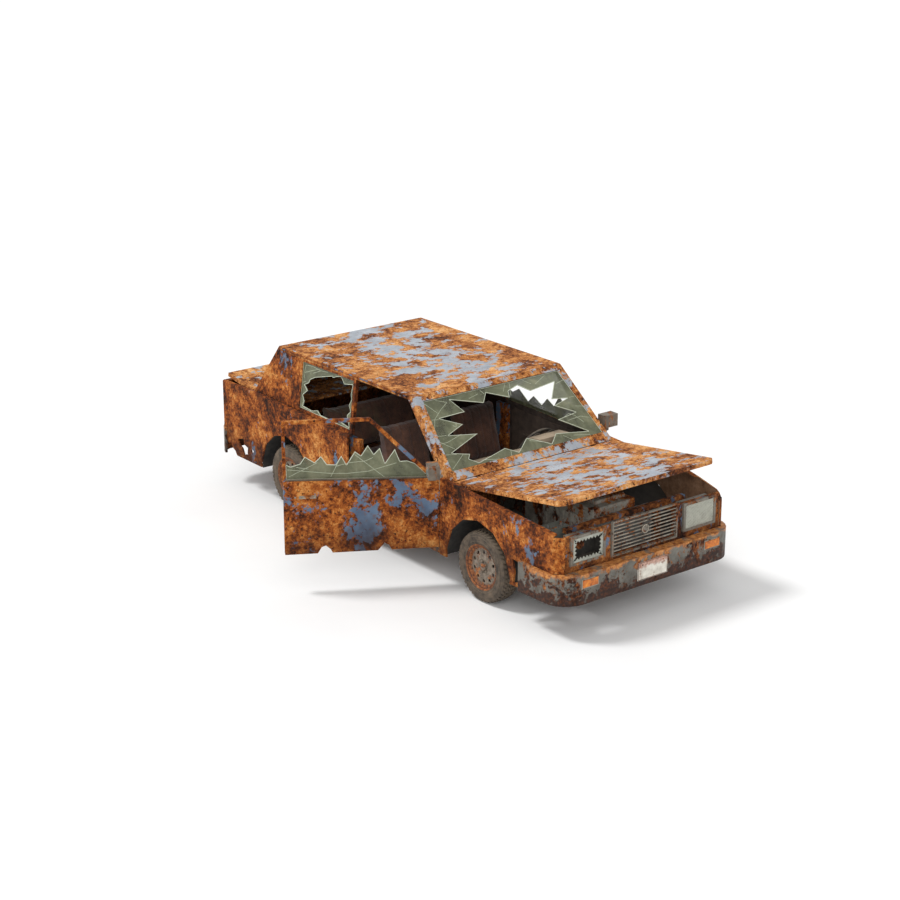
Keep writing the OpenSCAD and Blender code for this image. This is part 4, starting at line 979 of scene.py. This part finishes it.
def make_rear_seat():
    low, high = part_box("rear_seat")
    half = high[0] - 0.016
    y, z = low[1], low[2]
    for part, profile in (
            ("cushion", ((0.02, 0.138), (0.018, 0.182), (0.395, 0.174), (0.395, 0.138))),
            ("back", ((0.44, 0.215), (0.575, 0.54), (0.648, 0.54), (0.585, 0.16), (0.45, 0.16)))):
        pad = padded_block(-half, half, [(y + a, z + b) for a, b in profile])
        sew(pad.data, 0, half, (-0.66, -0.33, 0, 0.33, 0.66))
        pad.name = "rear_" + part
        dress_pad(pad, "rear_seat")
    base = Shape()
    for x0, x1 in ((-half, -0.126), (0.126, half)):
        base.block((x0, y + 0.03, z + 0.002), (x1, y + 0.325, z + 0.128))
    base.piece("rear_seat_base", "cabin", "cabin_plastic", bevel=0.004)


# ---- engine bay and dashboard

def make_engine_bay():
    low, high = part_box("engine")
    front, top = low[1], high[2]
    bits = Shape()
    for i in range(9):
        x = -0.115 + i * 0.035
        bits.block((x, front + 0.08, top - 0.001), (x + 0.012, front + 0.5, top + 0.004))
    # Ribs on both sides and a flange under the head, then bolts along its front
    for hand in (-1, 1):
        for i in range(6):
            y = front + 0.05 + i * 0.095
            bits.block((hand * 0.216 - 0.004, y, 0.36), (hand * 0.216 + 0.004, y + 0.018, 0.745))
        x0, x1 = sorted((hand * 0.214, hand * 0.226))
        for z0, z1 in ((0.748, 0.76), (0.69, 0.698)):
            bits.block((x0, front + 0.01, z0), (x1, front + 0.565, z1))
    bits.block((-0.214, front - 0.006, 0.748), (0.214, front + 0.002, 0.76))
    for i in range(7):
        bits.block((-0.19 + i * 0.06, front - 0.005, 0.775), (-0.176 + i * 0.06, front + 0.003, 0.7845))
    bits.piece("engine_ribs", "iron", "engine_iron", bevel=0.0015)
    wheels = Shape()
    for x, z, r in ((0, 0.42, 0.075), (0, 0.6, 0.06), (-0.15, 0.56, 0.038), (0.145, 0.64, 0.034)):
        wheels.turn([(0, 0.03), (r * 0.4, 0.03), (r * 0.8, 0.02), (r, 0.026), (r - 0.008, 0.016), (r, 0.006),
                     (r * 0.5, 0.002), (0, 0.002)], 32, round_across(x, front, z))
    wheels.piece("engine_pulleys", "bare_steel", "rusted_steel", smooth=True)
    hoses = Shape()
    low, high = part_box("radiator")
    back = high[1]
    for x, z0, z1 in ((-0.12, high[2] - 0.05, 0.715), (0.17, low[2] + 0.06, 0.45)):
        hoses.tube([(x, back - 0.002, z0), (x, back + 0.02, z0), (x * 1.02, back + 0.04, (z0 + z1) / 2 + 0.01),
                    (x * 1.05, front - 0.012, z1), (x * 1.05, front + 0.004, z1)], 0.017, 16)
    hoses.piece("coolant_hoses", "rubber", "old_tyre", smooth=True)
    fins = Shape()
    for i in range(46):
        x = low[0] + 0.018 + i * 0.01225
        fins.block((x, low[1] - 0.003, low[2] + 0.03), (x + 0.002, low[1] + 0.001, high[2] - 0.03))
    for z in (low[2], high[2] - 0.026):
        fins.block((low[0] + 0.004, low[1] - 0.006, z + 0.002), (high[0] - 0.004, low[1] + 0.001, z + 0.024))
    fins.piece("radiator_fins", "fins", "dull_aluminium")
    low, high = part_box("battery")
    posts = Shape()
    for x in (-0.665, -0.535):
        posts.turn([(0, 0.022), (0.008, 0.022), (0.01, 0.002), (0.016, 0), (0, -0.001)], 20,
                   round_upright(x, low[1] + 0.11, high[2]))
    for i in range(6):
        posts.turn([(0, 0.006), (0.009, 0.005), (0.011, 0), (0, -0.001)], 16,
                   round_upright(-0.675 + i * 0.03, low[1] + 0.075, high[2]))
    posts.piece("battery_posts", "fins", "dull_aluminium", smooth=True)


def make_dashboard():
    low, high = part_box("steering_wheel")
    middle = (low[0] + high[0]) / 2
    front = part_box("dashboard")[0][1]
    face = Shape()
    y = front + 0.262
    for x in (middle - 0.075, middle + 0.075):
        face.turn([(0.04, 0), (0.06, 0), (0.061, 0.006), (0.056, 0.009), (0.05, 0.004), (0.04, 0.002)], 40,
                  lambda r, a, out: Vector((x + r * cos(a), y + out - 0.12 * r * sin(a), 0.905 + r * sin(a))))
    for x in (-0.02, 0.06):
        for i in range(5):
            z = 0.76 + i * 0.012
            face.block((x, front + 0.283, z), (x + 0.06, front + 0.292, z + 0.005))
    face.piece("dial_rings", "wheel_black", "wheel_plastic", bevel=0.001)
    # The seam round the glove box
    seam = Shape()
    ring = [(-0.62, 0.835), (-0.16, 0.835), (-0.16, 0.745), (-0.62, 0.745), (-0.62, 0.835)]
    for start, end in zip(ring, ring[1:]):
        seam.tube([(x, board_y(z, front), z) for x, z in (start, end)], 0.003, 8)
    seam.piece("glove_box_seam", "wheel_black", "wheel_plastic")


def board_y(z, front):
    """The dashboard's face towards the seats, at a height between its two edges."""
    return front + 0.25 + 0.04 * (z - 0.72) / 0.12


# ---- doors, mirrors and lids

def make_door_trim():
    for hand, place, body in (("right", opened, "door_right"), ("left", Vector, "door_left")):
        def on_skin(y, z, x):
            return place((x, y, z))

        handle = Shape()
        handle.block((DOOR_SKIN - 0.001, 0.13, 0.776), (DOOR_SKIN + 0.006, 0.262, 0.8), place)
        handle.block((DOOR_SKIN + 0.004, 0.138, 0.783), (DOOR_SKIN + 0.016, 0.254, 0.793), place)
        handle.turn([(0, 0.006), (0.008, 0.005), (0.01, -0.001), (0, -0.001)], 20,
                    lambda r, a, out: place((DOOR_SKIN + out, 0.29 + r * cos(a), 0.788 + r * sin(a))))
        handle.piece(f"{hand}_door_handle", "slat", "weathered_trim", body, 0.0015)
        seal = Shape()
        y0, y1 = -0.76, 0.36
        seal.prism([(y0, belt_z(y0) + 0.0003), (y1, belt_z(y1) + 0.0003), (y1, belt_z(y1) + 0.008),
                    (y0, belt_z(y0) + 0.008)], DOOR_SKIN - 0.04, DOOR_SKIN - 0.012, on_skin)
        seal.piece(f"{hand}_door_seal", "rubber", "old_tyre", body, 0.002)
        card = Shape()
        inner = DOOR_SKIN - 0.06
        card.prism([(-0.75, 0.36), (0.27, 0.36), (0.285, 0.4), (0.285, 0.84), (0.25, 0.865),
                    (-0.7, 0.84), (-0.76, 0.78), (-0.765, 0.4)], inner - 0.005, inner - 0.0002, on_skin)
        card.prism([(-0.3, 0.61), (0.1, 0.64), (0.1, 0.675), (-0.3, 0.65)],
                   inner - 0.04, inner - 0.004, on_skin)
        card.tube([place((inner - 0.012, -0.42, 0.56)), place((inner - 0.03, -0.42, 0.56)),
                   place((inner - 0.03, -0.36, 0.59))], 0.006, 10)
        card.piece(f"{hand}_door_card", "cabin", "cabin_plastic", body, 0.002)
        glass = Shape()
        x = DOOR_SKIN + 0.026
        glass.prism(rectangle((x, 0.94), (x + 0.124, 1.028)), MIRROR_BACK - 0.0005, MIRROR_BACK + 0.002,
                    lambda a, b, depth: place((a, depth, b)))
        glass.piece(f"{hand}_mirror_glass", "mirror_glass", "dirty_glass", body, 0.0006)


def belt_z(y):
    return BELT_FRONT[1] + BELT_SLOPE * (y - BELT_FRONT[0])


def make_lid_ribs():
    """Pressed ribs under each lid. A line is x and y of its two ends."""
    for name, pivot, angle, body, lines, under in (
            ("hood_ribs", HOOD_PIVOT, -HOOD_AJAR, "hood",
             [(-0.62, -1.06, 0.62, -2.02), (0.62, -1.06, -0.62, -2.02), (-0.7, -1.55, 0.7, -1.55)], hood_under),
            ("trunk_ribs", TRUNK_PIVOT, TRUNK_AJAR, "trunk_lid",
             [(-0.62, 1.92, 0.62, 2.19), (0.62, 1.92, -0.62, 2.19)], trunk_under)):
        swung = ajar(pivot, angle)
        ribs = Shape()
        for x0, y0, x1, y1 in lines:
            along = Vector((x1 - x0, y1 - y0)).normalized()
            across = Vector((-along.y, along.x))
            corners = []
            for reach, drop in ((0.028, 0), (0.016, 0.014)):
                for (x, y), hand in (((x0, y0), 1), ((x1, y1), 1), ((x1, y1), -1), ((x0, y0), -1)):
                    a, b = x + across.x * reach * hand, y + across.y * reach * hand
                    corners.append(swung((a, b, under(b) - 0.0005 - drop)))
            ribs.add(corners, BOX_FACES)
        ribs.piece(name, "bare_steel", "rusted_steel", body, 0.002)


def hood_under(y):
    """Height of the closed hood's inner skin."""
    return HOOD_BACK[1] - LID_SKIN + HOOD_RISE * (y - HOOD_BACK[0])


def trunk_under(y):
    """Height of the closed trunk lid's inner skin."""
    (y0, z0), (y1, z1) = TRUNK_FRONT, TRUNK_BACK
    return z0 - LID_SKIN - (z0 - z1) * (y - y0) / (y1 - y0)


def make_underside():
    """Brake drums on the rear axle and clamps on the exhaust."""
    parts = Shape()
    for hand, where in ((-1, "right"), (1, "left")):
        middle = tyre_middle("rear_" + where)
        parts.turn([(0.036, 0), (0.105, 0), (0.112, 0.008), (0.112, 0.04), (0.1, 0.046), (0.036, 0.046)], 40,
                   lambda r, a, out: Vector((middle.x - hand * (0.15 - out), middle.y + r * cos(a),
                                             middle.z + r * sin(a))))
    low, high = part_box("exhaust")
    for y in (0.655, 1.055):
        parts.turn([(0.024, 0), (0.052, 0), (0.052, 0.012), (0.024, 0.012)], 32,
                   round_across((low[0] + high[0]) / 2, y - 0.006, EXHAUST_Z, 1))
    parts.piece("brake_drums", "bare_steel", "rusted_steel", bevel=0.0012)


def make_body_trim():
    low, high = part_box("roof")
    rails = Shape()
    z = high[2] - 0.014
    for hand in (-1, 1):
        x = hand * (cabin_x(z) + 0.004)
        rails.tube([(x, low[1] + 0.06, z), (x, (low[1] + high[1]) / 2, z), (x, high[1] - 0.08, z)], 0.006, 10)
    rails.piece("roof_gutters", "post_paint", "rusted_paint", smooth=True)
    # Filler flap on the left rear fender, the lock and trim strip on the panel under the trunk lid
    flap = Shape()
    flap.prism([(1.755, 0.67), (1.895, 0.67), (1.905, 0.68), (1.905, 0.8), (1.895, 0.81), (1.755, 0.81),
                (1.745, 0.8), (1.745, 0.68)], DOOR_SKIN - 0.0005, DOOR_SKIN + 0.003,
               lambda a, b, depth: Vector((depth, a, b)))
    flap.tube([(DOOR_SKIN + 0.002, 1.745, z) for z in (0.7, 0.74, 0.78)], 0.004, 10)
    flap.piece("filler_flap", "side_paint", "rusted_paint", bevel=0.002)
    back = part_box("rear_panel")[1][1]
    strip = Shape()
    strip.turn([(0, 0.006), (0.01, 0.006), (0.015, 0.003), (0.016, -0.001), (0, -0.001)], 28,
               round_across(0, back, 0.865, 1))
    strip.block((-0.52, back - 0.0005, 0.616), (0.52, back + 0.006, 0.632))
    strip.piece("rear_trim", "slat", "weathered_trim", bevel=0.002)


make_body_trim()
make_seats()
make_rear_seat()
make_engine_bay()
make_dashboard()
make_door_trim()
make_lid_ribs()
make_underside()


# ---- camera, floor and light

def make_camera():
    data = bpy.data.cameras.new("camera")
    data.lens = CAMERA_LENS
    data.sensor_width = 36
    data.clip_end = 300
    camera = placed("camera", data)
    flat = cos(CAMERA_ELEVATION)
    back = Vector((sin(CAMERA_AZIMUTH) * flat, -cos(CAMERA_AZIMUTH) * flat, sin(CAMERA_ELEVATION)))
    camera.location = CAMERA_TARGET + back * CAMERA_DISTANCE
    camera.rotation_mode = "QUATERNION"
    camera.rotation_quaternion = (-back).to_track_quat("-Z", "Y")
    bpy.context.scene.camera = camera


def make_floor():
    mesh = bpy.data.meshes.new("floor")
    reach = 120
    corners = rectangle((-reach, -reach), (reach, reach))
    mesh.from_pydata([(x, y, 0) for x, y in corners], [], [(0, 1, 2, 3)])
    floor = placed("floor", mesh)
    r = Recipe("pale_floor")
    tone = r.tones(r.noise(0.6, 4, 0.5), (0.3, "efefef"), (0.7, "f6f6f5"))
    mesh.materials.append(r.finish(tone, 0.9))


def make_light():
    """Soft light from all round, a white background and two suns."""
    world = bpy.data.worlds.new("studio")
    bpy.context.scene.world = world
    world.use_nodes = True
    tree = world.node_tree
    tree.nodes.clear()
    rays = tree.nodes.new("ShaderNodeLightPath").outputs
    seen = rays["Is Camera Ray"]
    for name in ("Is Glossy Ray", "Is Transmission Ray"):
        seen = add_node(tree, "Math", {0: seen, 1: rays[name]}, operation="MAXIMUM").outputs[0]
    soft, white = (add_node(tree, "Background", {"Color": (1, 1, 1, 1), "Strength": strength}).outputs[0]
                   for strength in (0.62, 1))
    either = add_node(tree, "MixShader", {0: seen, 1: soft, 2: white}).outputs[0]
    add_node(tree, "OutputWorld", {0: either})
    for name, towards, strength, softness in (
            ("key", (0.57, -0.6, -1.25), 1.7, 0.22), ("fill", (0.75, 0.75, -0.55), 1, 0.6)):
        data = bpy.data.lights.new(name, "SUN")
        data.energy = strength
        data.angle = softness
        lamp = placed(name, data)
        lamp.rotation_mode = "QUATERNION"
        lamp.rotation_quaternion = Vector(towards).to_track_quat("-Z", "Y")
    bpy.context.scene.view_settings.view_transform = "Standard"


make_camera()
make_floor()
make_light()
